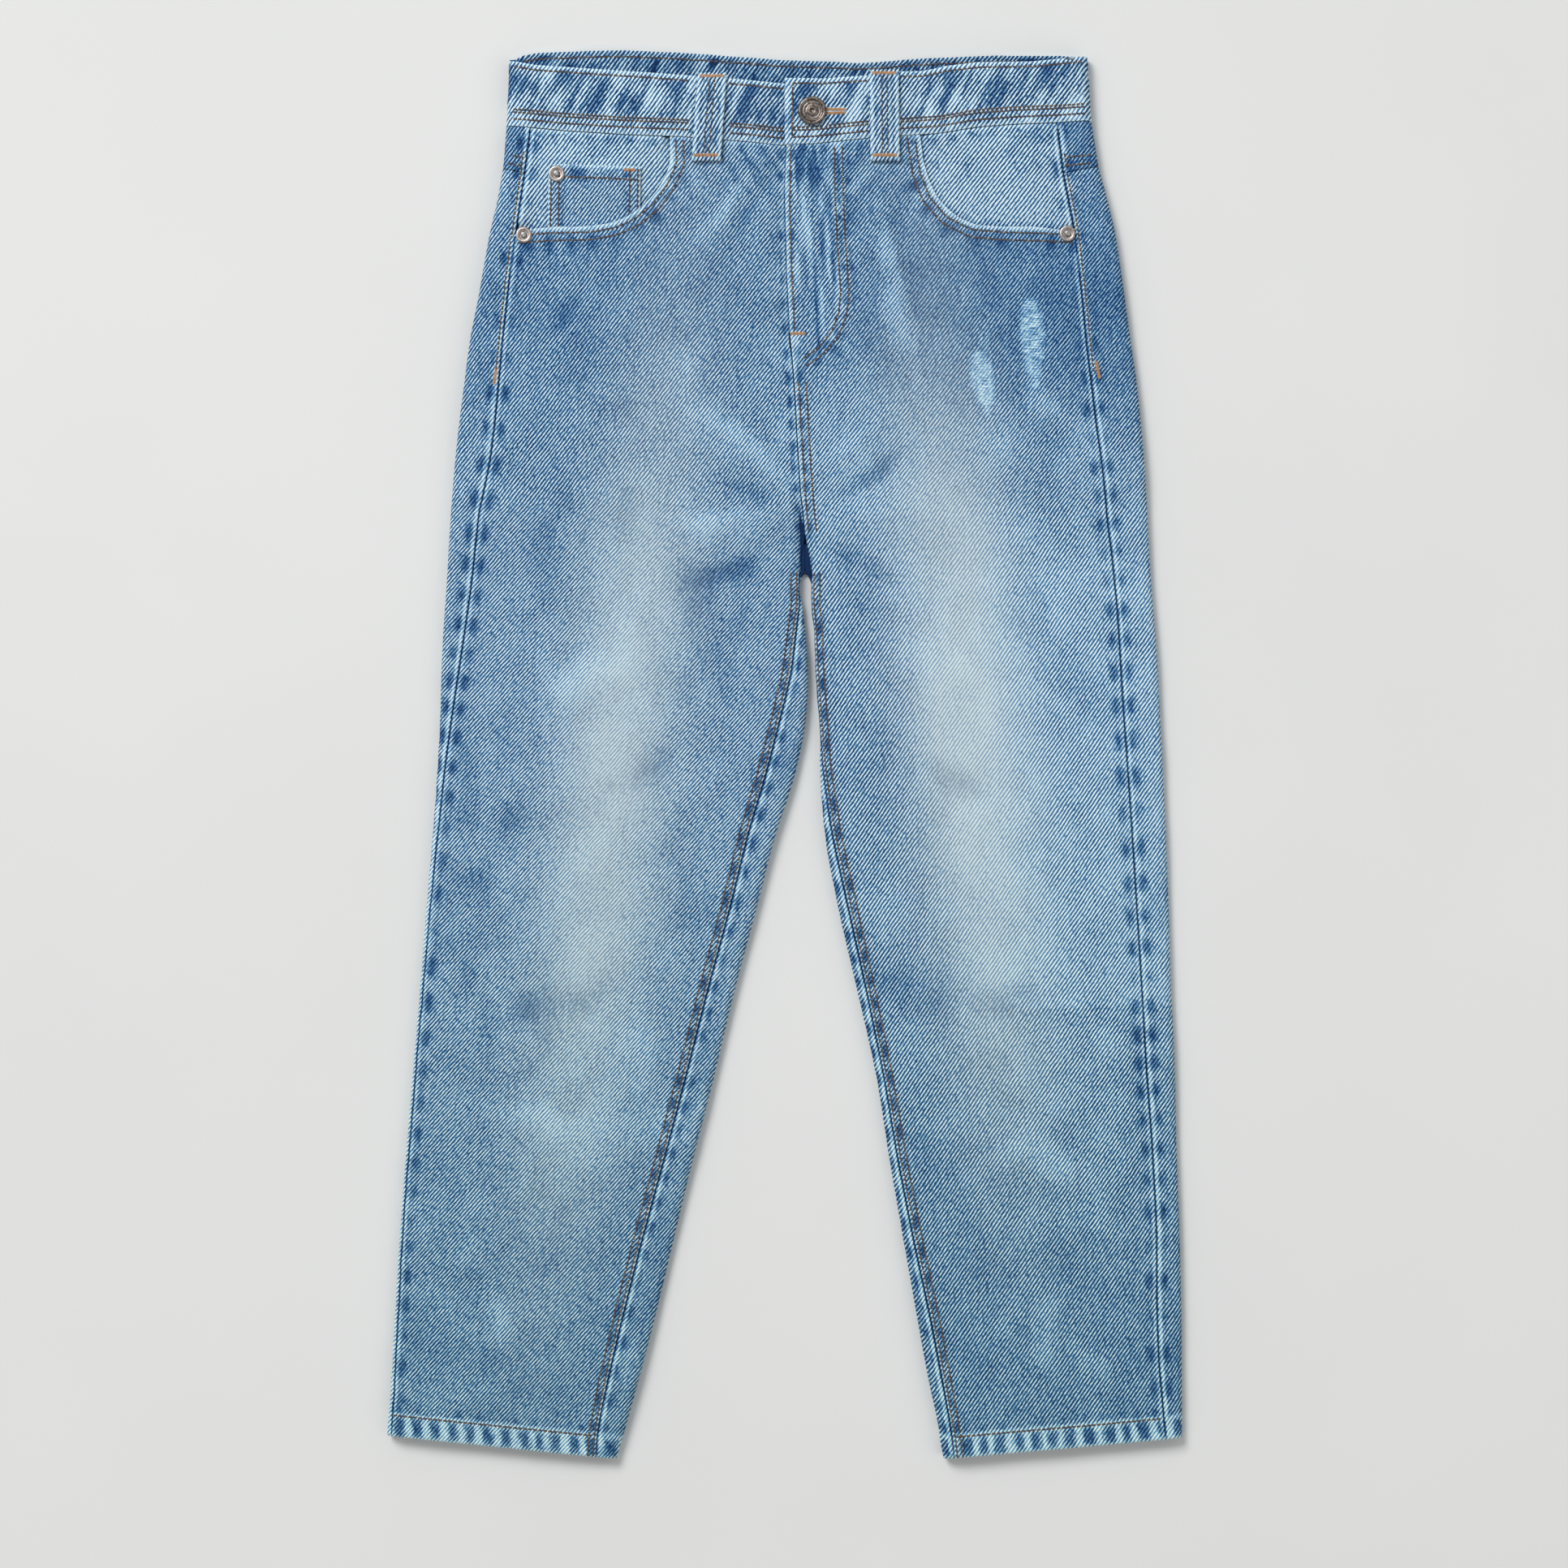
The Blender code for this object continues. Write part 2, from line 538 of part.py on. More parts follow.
def inner_rows(side):
    """Back panel's strip round the inner fold up to the inseam, topped by the crotch fork."""
    rows = table_of(side)
    strip = []
    centre = CENTRE_BACK + (170.0 - 113.0) * 0.12
    for y_back, z_back, y_edge in reversed(FORK):
        rise = min(max((y_back - 109.6) / 17.0, 0.0), 1.0)
        x_back = centre + (centre_x(134.0) - centre) * rise + 0.5 * side * SEAM
        (x_edge, _, z_edge), move = front_end(side, y_edge)
        x_edge += side * move[2] * 1.1 * SEAM
        z_edge -= abs(move[0]) * 1.1 * SEAM
        if abs(x_edge - x_back) <= 0.2 or (x_edge - x_back) * side <= 0:
            x_back = x_edge - 0.25 * side
        first, last = np.array((x_back, y_back, z_back)), np.array((x_edge, y_edge, z_edge))
        strip.append([tuple(first + (last - first) * step) for step in np.linspace(0.0, 1.0, 7)])
    saddle_start = np.array((centre + 0.5 * side * SEAM, 113.0, 0.0))
    last = front_end(side, 102.6)[0] - np.array((0.0, 0.0, 1.1 * SEAM))
    strip.append([tuple(saddle_start + (last - saddle_start) * step) for step in np.linspace(0.0, 1.0, 7)])
    for number in range(SADDLE + 1, len(rows)):
        row = rows[number]
        radius = between(HEIGHTS, row[0], 1)
        inner = seam_place(row[5], radius) - 0.5 * SEAM if row[5] > 0 else -0.5 * SEAM
        bend = 0.5 * math.pi * radius
        places = np.linspace(-bend, inner, 7)
        if inner >= bend + 1.0:
            places = np.append(np.linspace(-bend, bend, 6), inner)
        line = []
        for place in places:
            inset, height, (away, up) = fold_point(place, radius)
            x = row[4] + side * inset
            y = line_y(row, x)
            line.append((x, y, height + dome(side, x, y, row[4]) * max(up, 0.0) * min(inset / radius, 1.0)))
        strip.append(line)
    return np.array(strip)


def build_back(side, look):
    """Back panel: the main grid and the inner strip share the column where they meet."""
    rows = table_of(side)
    main, main_moves = back_rows(side)
    strip = inner_rows(side)
    wide = main.shape[1]
    points = [tuple(point) for line in main for point in line]
    moves = [tuple(move) for line in main_moves for move in line]
    faces = grid_faces(len(main), wide)
    fork = len(FORK)
    strip_start = len(main) - (len(strip) - fork)
    index = np.zeros(strip.shape[:2], int)
    for number in range(len(strip)):
        for column in range(strip.shape[1]):
            if column == 0 and number >= fork:
                index[number, 0] = (strip_start + number - fork) * wide + wide - 1
                continue
            index[number, column] = len(points)
            points.append(tuple(strip[number, column]))
            moves.append((0.0, 0.0, 0.0))
    for number in range(len(strip) - 1):
        for column in range(strip.shape[1] - 1):
            a, b = index[number, column], index[number, column + 1]
            c, d = index[number + 1, column + 1], index[number + 1, column]
            faces.append((int(a), int(b), int(c), int(d)))
    points = np.array(points)
    for number in range(fork, len(strip)):
        if number == fork:
            continue
        row = rows[SADDLE + number - fork]
        radius = between(HEIGHTS, row[0], 1)
        wall = wall_at(SADDLE + number - fork, len(rows))
        for column in range(1, strip.shape[1]):
            x, _, z = strip[number, column]
            inset = abs(x - row[4])
            if inset < radius:
                away, up = (radius - inset) / radius, (z - radius) / radius
                up = math.copysign(math.sqrt(max(1.0 - away * away, 0.0)), up)
            else:
                away, up = 0.0, 1.0 if z > radius else -1.0
            moves[index[number, column]] = (away * side * wall, 0.0, -up * wall)
    last = strip.shape[1] - 1
    for number in range(fork + 1):
        y_back, z_back = strip[number, 0][1:]
        first = np.array((0.0, 0.0, -1.0))
        if y_back < 114.5:
            first = np.array((0.0, 114.5 - y_back, 2.4 - z_back))
        first = np.array((0.0, 0.0, 1.0)) if number == fork else first / np.linalg.norm(first)
        end = front_end(side, strip[number, last][1])[1]
        for column in range(1 if number == fork else 0, last + 1):
            move = first * (1.0 - column / last) + end * column / last
            moves[index[number, column]] = tuple(move / np.linalg.norm(move) * FORK_WALL)
    return shell(f"back_{NAMES[side]}", points.tolist(), moves, faces, look)


def build_yoke(side, look):
    yoke_out, yoke_in = YOKE_SEAM[side]
    waist_out = table_of(side)[0][0]
    points, inward = [], []
    for share in (0.0, 0.25, 0.5, 0.75, 1.0):
        y_out = waist_out - SEAM + (yoke_out - waist_out + SEAM) * share
        y_centre = 365.0 + (yoke_in - 365.0) * share
        radius = between(HEIGHTS, y_out, 1)
        seam = abs(outer_x(side, y_out) - outseam_x(side, y_out))
        centre = CENTRE_BACK + 0.5 * side * SEAM
        line, moves = back_line(side, y_out, y_centre, centre, seam, radius, 9, share == 0.0)
        points.append(line)
        inward.append(moves)
    return grid_shell(f"yoke_{NAMES[side]}", np.array(points), np.array(inward), look)


def band_z(side, x):
    """Outer surface of the band in front."""
    return top_z(side, x, 372.0) + 0.6


def build_band(side, look):
    """Half of the doubled waistband, from the front round the outer fold to centre back."""
    top = BAND_TOP_RIGHT if side < 0 else BAND_TOP_LEFT
    end = 38.5 if side < 0 else centre_x(363.0) - 1.0
    radius = BAND_FOLD
    low_fold, high_fold = table_of(side)[0][2], (-164.7 if side < 0 else 180.6)
    folds = [place for place in np.linspace(0.5 * math.pi * radius, -0.5 * math.pi * radius, 9)]
    fronts = np.linspace(end, low_fold - side * radius, 17)[:-1]
    backs = np.linspace(low_fold - side * radius, CENTRE_BACK + 0.5 * side * SEAM, 17)[1:]
    points, inward = [], []
    for share in (0.0, 0.12, 0.5, 0.88, 1.0):
        line, moves = [], []
        shift = (high_fold - low_fold) * share
        puff = 0.35 * bump(2.0 * share - 1.0)
        for x in fronts:
            along = (x - end) / (low_fold - side * radius - end)
            at = x + shift * along
            y_low, y_high = between(BAND_LOW, at), between(top, at)
            under = 0.0 if side > 0 else 2.9 * bump(min(at - centre_x(363.0) + 3.0, 0.0) / 16.0)
            line.append((at, y_low + (y_high - y_low) * share, band_z(side, at) - under + puff))
            moves.append((0.0, 0.0, -BAND))
        for place in folds:
            inset, height, (away, up) = fold_point(place, radius)
            at = low_fold + shift - side * inset
            y_low = between(BAND_LOW, at) if place > 0 else back_seam(side, at)
            y_high = between(top, at) if place > 0 else between(BAND_BACK, at)
            if place > 0:
                height += (band_z(side, low_fold - side * radius) - 2.0 * radius) * up
            height += lift(at, y_low) if up < -0.9 else 0.0
            line.append((at, y_low + (y_high - y_low) * share, height))
            moves.append((-away * side * BAND, 0.0, -up * BAND))
        for x in backs:
            along = 1.0 - (x - backs[0]) / (backs[-1] - backs[0])
            at = x + shift * along
            y_low, y_high = back_seam(side, at), between(BAND_BACK, at)
            line.append((at, y_low + (y_high - y_low) * share, lift(at, y_low)))
            moves.append((0.0, 0.0, BAND))
        points.append(line)
        inward.append(moves)
    return grid_shell(f"waistband_{NAMES[side]}", np.array(points), np.array(inward), look)


def back_seam(side, x):
    """Waist seam on the underside."""
    first = table_of(side)[0]
    radius = BAND_FOLD
    start = first[2] - side * radius
    share = min(max((x - start) / (CENTRE_BACK - start), 0.0), 1.0)
    return first[0] + (365.0 - first[0]) * share + SEAM


def strap(name, high, low, face, look):
    """A belt loop: a narrow strip arched a little off the band, its ends against the cloth."""
    (high_x, high_y), (low_x, low_y) = high, low
    points, inward = [], []
    for share in np.linspace(0.0, 1.0, 9):
        x, y = high_x + (low_x - high_x) * share, high_y + (low_y - high_y) * share
        line, moves = [], []
        for across in (-0.5, -0.17, 0.17, 0.5):
            at = x + across * LOOP_WIDTH
            if face > 0:
                side = -1 if at < 0 else 1
                ground = band_z(side, at) + 0.35
                arch = 1.1 * bump(2.0 * share - 1.0) ** 0.5
                line.append((at, y, ground + 0.35 + arch + LOOP_WALL))
                moves.append((0.0, 0.0, -LOOP_WALL))
            else:
                line.append((at, y, 0.0))
                moves.append((0.0, 0.0, LOOP_WALL))
        points.append(line)
        inward.append(moves)
    return grid_shell(name, np.array(points), np.array(inward), look)


def coons(top, bottom, left, right, rows, columns):
    """Points filling four edges. Each edge is a list of points, top and bottom running left to right."""
    def along(edge, share):
        steps = np.cumsum([0.0] + [math.dist(a, b) for a, b in zip(edge, edge[1:])])
        return np.array([np.interp(share * steps[-1], steps, [p[axis] for p in edge]) for axis in (0, 1)])

    grid = np.zeros((rows, columns, 2))
    for i, v in enumerate(np.linspace(0.0, 1.0, rows)):
        for j, u in enumerate(np.linspace(0.0, 1.0, columns)):
            edges = (1 - v) * along(top, u) + v * along(bottom, u)
            edges = edges + (1 - u) * along(left, v) + u * along(right, v)
            corners = (1 - u) * (1 - v) * np.array(top[0]) + u * (1 - v) * np.array(top[-1])
            corners = corners + (1 - u) * v * np.array(bottom[0]) + u * v * np.array(bottom[-1])
            grid[i, j] = edges - corners
    return grid


def facing_dip(side, x, y):
    """How far the pocket facing lies below the front's surface."""
    full = 3.1 if side < 0 else 1.6
    away = outside_scoop(side, x, y)
    return full if away <= 2.0 else 0.5 + (full - 0.5) * bump((away - 2.0) / 26.0)


def build_facing(side, look):
    """Denim seen in the scoop: from waist seam and outseam to a little under the front panel."""
    scoop = SCOOP_RIGHT if side < 0 else SCOOP_LEFT
    corner = 4
    under = []
    for number, (x, y) in enumerate(scoop):
        ax, ay = scoop[max(number - 1, 0)]
        bx, by = scoop[min(number + 1, len(scoop) - 1)]
        long = math.hypot(bx - ax, by - ay)
        under.append((x + side * (by - ay) / long * FACING_UNDER, y - side * (bx - ax) / long * FACING_UNDER))
    under[0] = (under[0][0], waist_y(under[0][0]))
    seam_ys = np.linspace(table_of(side)[0][0] - 1.5, 302.0, 12)
    outer = [
        (
            outseam_x(side, y) - side * 0.5 * SEAM,
            y + top_slope(side, y) * abs(outer_x(side, y) - outseam_x(side, y)),
        )
        for y in seam_ys
    ]
    outer[0] = (outer[0][0], waist_y(outer[0][0]))
    under[-1] = outer[-1]
    tops = [(x, waist_y(x)) for x in np.linspace(outer[0][0], under[0][0], 10)]
    flat = coons(tops, [outer[-1]] + under[corner:-1][::-1], outer, under[: corner + 1], 9, 11)
    points = [
        [(x, y, top_z(side, x, y) - facing_dip(side, x, y)) for x, y in line]
        for line in flat
    ]
    return grid_shell(f"pocket_facing_{NAMES[side]}", np.array(points), (0.0, 0.0, -CLOTH), look)


def quad_patch(corners, rows, columns, height):
    """Grid of points over a four-cornered patch, with the height given by a function of x and y."""
    a, b, c, d = (np.array(corner, float) for corner in corners)
    grid = []
    for v in np.linspace(0.0, 1.0, rows):
        line = []
        for u in np.linspace(0.0, 1.0, columns):
            x, y = (1 - v) * ((1 - u) * a + u * b) + v * ((1 - u) * d + u * c)
            line.append((x, y, height(x, y)))
        grid.append(line)
    return np.array(grid)


def build_bag(side, look):
    """Pocket bag, sewn shut and flat behind the facing."""
    near, far = (-88.0, -146.0) if side < 0 else (100.0, 158.0)
    corners = ((far, 352.0), (near + side * -22.0, 352.0), (near + side * -22.0, 232.0), (far, 240.0))
    depth = 4.8 if side < 0 else 3.3
    sheet = quad_patch(corners, 6, 6, lambda x, y: top_z(side, x, y) - depth)
    return grid_shell(f"pocket_bag_{NAMES[side]}", sheet, (0.0, 0.0, -1.0), look)


def build_fly(look_shield, look_zip):
    """Zip and shield behind the fly, stacked downwards."""
    zip_corners = ((-6.0, 361.0), (24.0, 361.0), (26.0, 244.0), (-3.0, 244.0))
    zip_sheet = quad_patch(zip_corners, 6, 4, lambda x, y: top_z(1, x, y) - 4.7)
    grid_shell("zip", zip_sheet, (0.0, 0.0, -0.9), look_zip)
    shield_corners = ((-10.0, 361.5), (38.0, 361.5), (38.0, 236.0), (-6.0, 236.0))
    shield = quad_patch(shield_corners, 6, 5, lambda x, y: top_z(1, x, y) - 6.1)
    grid_shell("fly_shield", shield, (0.0, 0.0, -CLOTH), look_shield)


def turned_solid(name, profile, centre, look, turns=28):
    """A solid of revolution about an upright line, from a profile of radius and height."""
    points = [(centre[0], centre[1], profile[0][1])]
    for radius, height in profile[1:-1]:
        for step in range(turns):
            angle = 2.0 * math.pi * step / turns
            away_x, away_y = radius * math.cos(angle), radius * math.sin(angle)
            points.append((centre[0] + away_x, centre[1] + away_y, height))
    points.append((centre[0], centre[1], profile[-1][1]))
    rings = len(profile) - 2
    faces = []
    for step in range(turns):
        after = (step + 1) % turns
        faces.append((0, 1 + after, 1 + step))
        for ring in range(rings - 1):
            low, high = 1 + ring * turns, 1 + (ring + 1) * turns
            faces.append((low + step, low + after, high + after, high + step))
        faces.append((1 + (rings - 1) * turns + step, 1 + (rings - 1) * turns + after, len(points) - 1))
    return solid(name, points, faces, look)


def build_button(look):
    x, y = BUTTON_AT
    high = band_z(1, x) + 0.35
    foot = high - BAND - 0.4
    half = 0.5 * BUTTON_WIDTH
    profile = [
        (0.0, foot), (0.5 * SHANK_WIDTH, foot), (0.5 * SHANK_WIDTH, high + 0.5), (half - 1.0, high + 0.5),
        (half, high + 1.3), (half - 0.3, high + 2.4), (half - 1.3, high + 3.0), (half - 2.6, high + 2.7),
        (half - 3.0, high + 2.2), (2.6, high + 2.3), (2.0, high + 2.9), (1.2, high + 2.8), (0.0, high + 1.9),
    ]
    return turned_solid("button", profile, (x, y), look)


def build_rivet(name, x, y, look):
    side = -1 if x < 0 else 1
    half = 0.5 * RIVET_WIDTH
    raised = -facing_dip(side, x, y) + 1.5 if name == "rivet_coin" else 0.0
    rim = [top_z(side, x + half * math.cos(a), y + half * math.sin(a)) for a in np.linspace(0.0, 6.0, 9)]
    ground = max(rim + [top_z(side, x, y)]) + raised + 0.35
    profile = [
        (0.0, ground), (half - 0.4, ground), (half, ground + 0.4), (half - 0.8, ground + 1.0),
        (2.4, ground + 1.1), (1.9, ground + 1.7), (1.2, ground + 2.1), (0.0, ground + 2.2),
    ]
    return turned_solid(name, profile, (x, y), look, 20)


def build_pocket(side, look):
    """Plain patch pocket, flat under the seat."""
    outline = BACK_POCKETS[side]
    count = len(outline)
    points = [(x, y, 0.0) for x, y in outline] + [(x, y, CLOTH) for x, y in outline]
    faces = [tuple(range(count)), tuple(range(count, 2 * count))]
    faces += [(step, (step + 1) % count, count + (step + 1) % count, count + step) for step in range(count)]
    return solid(f"back_pocket_{NAMES[side]}", points, faces, look)


def cut_buttonhole(band):
    """Keyhole through the band's left end: a round eye for the shank and a slit."""
    x, y = BUTTON_AT
    z = band_z(1, x)
    turns = np.linspace(0.25, 2.0 * math.pi - 0.25, 17)
    outline = [(x + 2.6 * math.cos(turn), y + 2.6 * math.sin(turn)) for turn in turns]
    outline += [(BUTTONHOLE_END, y - 0.55), (BUTTONHOLE_END, y + 0.55)]
    count = len(outline)
    points = [(px, py, z - 6.0) for px, py in outline] + [(px, py, z + 4.0) for px, py in outline]
    faces = [tuple(range(count)), tuple(range(count, 2 * count))]
    faces += [(step, (step + 1) % count, count + (step + 1) % count, count + step) for step in range(count)]
    cutter = solid("buttonhole_cutter", points, faces, material("cutter", DENIM))
    cut = band.modifiers.new("buttonhole", "BOOLEAN")
    cut.operation, cut.solver, cut.object = "DIFFERENCE", "EXACT", cutter
    cutter.hide_render = True
    cutter.hide_viewport = True


NAMES = {-1: "right", 1: "left"}

for old in list(bpy.data.objects):
    bpy.data.objects.remove(old, do_unlink=True)

for wearer in (-1, 1):
    skin, into = front_rows(wearer)
    grid_shell(f"front_{NAMES[wearer]}", skin, into, material(f"denim_front_{NAMES[wearer]}", DENIM))
    build_back(wearer, material(f"denim_back_{NAMES[wearer]}", DENIM))
    build_yoke(wearer, material(f"denim_yoke_{NAMES[wearer]}", DENIM))
    half_band = build_band(wearer, material(f"denim_band_{NAMES[wearer]}", DENIM))
    build_facing(wearer, material(f"denim_facing_{NAMES[wearer]}", DENIM_PALE))
    build_bag(wearer, material(f"bag_{NAMES[wearer]}", BAG_CLOTH))
    build_pocket(wearer, material(f"denim_pocket_{NAMES[wearer]}", DENIM))
cut_buttonhole(half_band)
build_fly(material("denim_fly", DENIM_INNER), material("zip_tape", BRASS_OLD))
coin_sheet = quad_patch(COIN, 6, 6, lambda x, y: top_z(-1, x, y) - facing_dip(-1, x, y) + 1.5)
grid_shell("coin_pocket", coin_sheet, (0.0, 0.0, -CLOTH), material("denim_coin", DENIM))
for loop_name, top_x, top_y, bottom_x, bottom_y, facing in LOOPS:
    strap(loop_name, (top_x, top_y), (bottom_x, bottom_y), facing, material(f"denim_{loop_name}", DENIM))
build_button(material("button_metal", BRASS_OLD, 0.45, 0.9))
for rivet_name, rivet_x, rivet_y in RIVETS:
    build_rivet(rivet_name, rivet_x, rivet_y, material(f"copper_{rivet_name}", COPPER, 0.4, 0.9))
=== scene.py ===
"""Washed mom jeans lying flat on their back on a pale surface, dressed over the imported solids.
Lengths are in millimetres until a mesh is made, with the waist towards +Y and the wearer's right at -X."""

import json
import math

import bmesh
import bpy
import numpy as np
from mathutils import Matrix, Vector
from mathutils.bvhtree import BVHTree

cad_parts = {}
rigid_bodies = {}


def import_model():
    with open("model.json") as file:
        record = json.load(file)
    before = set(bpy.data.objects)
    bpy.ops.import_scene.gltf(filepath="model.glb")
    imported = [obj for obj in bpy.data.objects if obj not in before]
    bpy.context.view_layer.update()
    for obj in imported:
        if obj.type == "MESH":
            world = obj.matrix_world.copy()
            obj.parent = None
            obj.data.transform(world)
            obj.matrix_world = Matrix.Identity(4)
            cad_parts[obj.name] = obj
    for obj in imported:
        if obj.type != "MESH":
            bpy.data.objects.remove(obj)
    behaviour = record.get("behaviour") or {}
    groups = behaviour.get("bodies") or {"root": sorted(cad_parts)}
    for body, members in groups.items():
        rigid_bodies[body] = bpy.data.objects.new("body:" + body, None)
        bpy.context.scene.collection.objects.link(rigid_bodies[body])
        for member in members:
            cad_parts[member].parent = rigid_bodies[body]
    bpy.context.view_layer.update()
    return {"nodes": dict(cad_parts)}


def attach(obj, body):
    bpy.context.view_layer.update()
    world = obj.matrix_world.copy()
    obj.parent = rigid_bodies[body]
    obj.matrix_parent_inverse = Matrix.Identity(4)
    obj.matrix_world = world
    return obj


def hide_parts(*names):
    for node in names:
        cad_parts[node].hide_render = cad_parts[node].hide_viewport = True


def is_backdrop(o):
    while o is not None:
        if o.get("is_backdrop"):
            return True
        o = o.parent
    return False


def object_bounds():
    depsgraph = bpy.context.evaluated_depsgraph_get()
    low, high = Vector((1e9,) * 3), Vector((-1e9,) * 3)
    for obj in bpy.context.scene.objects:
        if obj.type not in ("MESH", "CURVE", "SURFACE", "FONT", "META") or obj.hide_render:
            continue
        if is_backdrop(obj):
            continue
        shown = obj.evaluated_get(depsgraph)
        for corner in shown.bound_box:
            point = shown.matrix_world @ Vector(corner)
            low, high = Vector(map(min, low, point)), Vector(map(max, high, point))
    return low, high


for startup in list(bpy.data.objects):
    bpy.data.objects.remove(startup, do_unlink=True)
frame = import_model()

# Front panels.
# Two pieces of 1.2 mm stone-washed denim, scooped at the hip for the pockets, joined down the centre, and
# sewn to the backs along the outseam and the inseam. The wearer's left one laps over the right at the fly.
MM = 0.001
MIDDLE = np.array((-0.6, 1.45, 0.0))
CLOTH = 1.1
SEAM = 0.3
SIDES = {-1: "right", 1: "left"}
# y at the outer fold, y at the inner edge, x of the outer fold, outseam to outer fold, x of the centre seam
# or inner fold, inner fold to inseam.
RIGHT = [
    (376.1, 363.0, -166.7, 14.7, 0.7, 0.0),
    (352.4, 347.5, -168.5, 13.3, 0.0, 0.0),
    (333.0, 330.5, -171.9, 13.9, -0.2, 0.0),
    (314.0, 284.5, -176.3, 15.5, 1.1, 0.0),
    (289.3, 265.1, -180.9, 16.6, 2.1, 0.0),
    (272.3, 252.0, -183.9, 17.9, 2.8, 0.0),
    (250.5, 236.0, -188.3, 19.8, 4.3, 0.0),
    (223.8, 214.1, -191.9, 21.0, 6.0, 0.0),
    (197.2, 192.3, -195.2, 21.8, 7.1, 0.0),
    (172.9, 171.4, -197.8, 21.1, 8.4, 0.0),
    (155.9, 155.9, -199.2, 18.9, 9.5, 0.0),
    (145.3, 145.3, -200.0, 17.3, 10.9, 0.0),
    (133.6, 133.6, -200.7, 16.7, 11.9, 0.0),
    (122.0, 122.0, -201.5, 16.2, 10.4, 0.0),
    (109.9, 109.9, -202.1, 15.5, 8.6, 0.0),
    (101.8, 101.6, -202.6, 15.1, 8.6, 0.0),
    (91.0, 90.5, -203.4, 14.4, 10.3, 1.5),
    (74.4, 73.5, -204.6, 13.2, 12.1, 5.6),
    (50.8, 49.2, -205.7, 10.7, 13.6, 10.1),
    (22.5, 20.1, -206.6, 7.3, 12.1, 15.5),
    (-5.8, -9.0, -208.1, 5.0, 6.4, 17.3),
    (-43.6, -47.8, -210.7, 3.4, -5.9, 16.4),
    (-86.1, -91.4, -214.4, 2.4, -17.2, 15.8),
    (-133.3, -139.9, -218.2, 2.0, -30.1, 16.0),
    (-185.2, -193.3, -222.6, 2.0, -42.9, 16.7),
    (-232.4, -241.8, -226.6, 2.0, -55.2, 17.1),
    (-279.6, -290.3, -230.2, 2.0, -66.9, 18.5),
    (-326.9, -338.8, -233.2, 2.2, -78.6, 19.0),
    (-359.9, -372.7, -235.0, 2.4, -87.5, 18.0),
    (-390.6, -404.2, -236.9, 2.6, -96.2, 15.5),
    (-394.4, -408.1, -237.2, 2.6, -97.3, 14.9),
    (-405.7, -419.8, -238.3, 3.4, -100.8, 12.0),
]
LEFT = [
    (379.3, 363.0, 183.1, 20.9, 0.7, 0.0),
    (352.4, 347.5, 187.2, 21.5, 0.0, 0.0),
    (333.0, 330.5, 192.5, 23.0, -0.2, 0.0),
    (314.0, 284.5, 197.0, 24.0, 1.1, 0.0),
    (289.3, 265.1, 200.9, 25.3, 2.1, 0.0),
    (272.3, 252.0, 203.3, 25.7, 2.8, 0.0),
    (250.5, 236.0, 206.3, 26.8, 4.3, 0.0),
    (223.8, 214.1, 210.2, 27.5, 6.0, 0.0),
    (197.2, 192.3, 212.9, 27.2, 7.1, 0.0),
    (172.9, 171.4, 215.0, 25.9, 8.4, 0.0),
    (155.9, 155.9, 216.1, 25.1, 9.5, 0.0),
    (145.3, 145.3, 216.6, 24.7, 10.9, 0.0),
    (133.6, 133.6, 217.2, 24.0, 11.9, 0.0),
    (122.0, 122.0, 217.9, 23.1, 13.7, 0.0),
    (109.9, 109.9, 218.6, 22.5, 15.6, 0.0),
    (101.8, 101.6, 219.1, 22.2, 15.5, 0.0),
    (90.9, 90.5, 220.0, 22.0, 15.5, 0.0),
    (74.3, 73.5, 221.4, 22.2, 17.1, 0.0),
    (50.7, 49.2, 223.0, 22.4, 18.0, 0.0),
    (22.3, 20.1, 224.4, 22.0, 20.2, 0.0),
    (-6.1, -9.0, 225.9, 21.4, 20.8, 1.6),
    (-44.0, -47.8, 227.7, 20.6, 23.8, 4.5),
    (-86.6, -91.4, 229.4, 19.5, 31.8, 6.0),
    (-134.0, -139.9, 230.8, 18.1, 42.9, 5.5),
    (-186.1, -193.3, 233.1, 17.3, 54.7, 4.5),
    (-233.4, -241.8, 234.2, 14.9, 62.4, 5.0),
    (-280.7, -290.3, 235.8, 14.0, 70.8, 6.1),
    (-328.1, -338.8, 237.0, 14.9, 79.4, 7.8),
    (-361.2, -372.7, 237.3, 14.1, 85.6, 8.0),
    (-392.1, -404.2, 237.4, 11.5, 92.0, 7.2),
    (-395.9, -408.1, 237.4, 11.3, 92.5, 7.2),
    (-407.2, -419.8, 237.4, 9.9, 94.6, 6.4),
]
FIRST_FULL, CROTCH, SADDLE = 3, 12, 14
# y, fold radius, dome over both hips, dome over each leg.
HEIGHTS = [
    (420.0, 6.2, 4.4, 0.0),
    (360.0, 6.0, 4.5, 0.0),
    (250.0, 5.8, 4.4, 0.0),
    (170.0, 5.4, 2.6, 0.2),
    (134.0, 5.0, 1.2, 0.5),
    (110.0, 4.8, 0.0, 0.8),
    (40.0, 4.6, 0.0, 1.5),
    (-120.0, 4.5, 0.0, 1.6),
    (-300.0, 4.6, 0.0, 1.3),
    (-395.0, 5.2, 0.0, 0.9),
    (-425.0, 5.2, 0.0, 0.9),
]
# y, depth of the groove along the centre seam.
GROOVE = [(400.0, 0.0), (173.0, 0.0), (156.0, 0.8), (145.0, 3.0), (133.6, 5.4), (90.0, 5.4)]
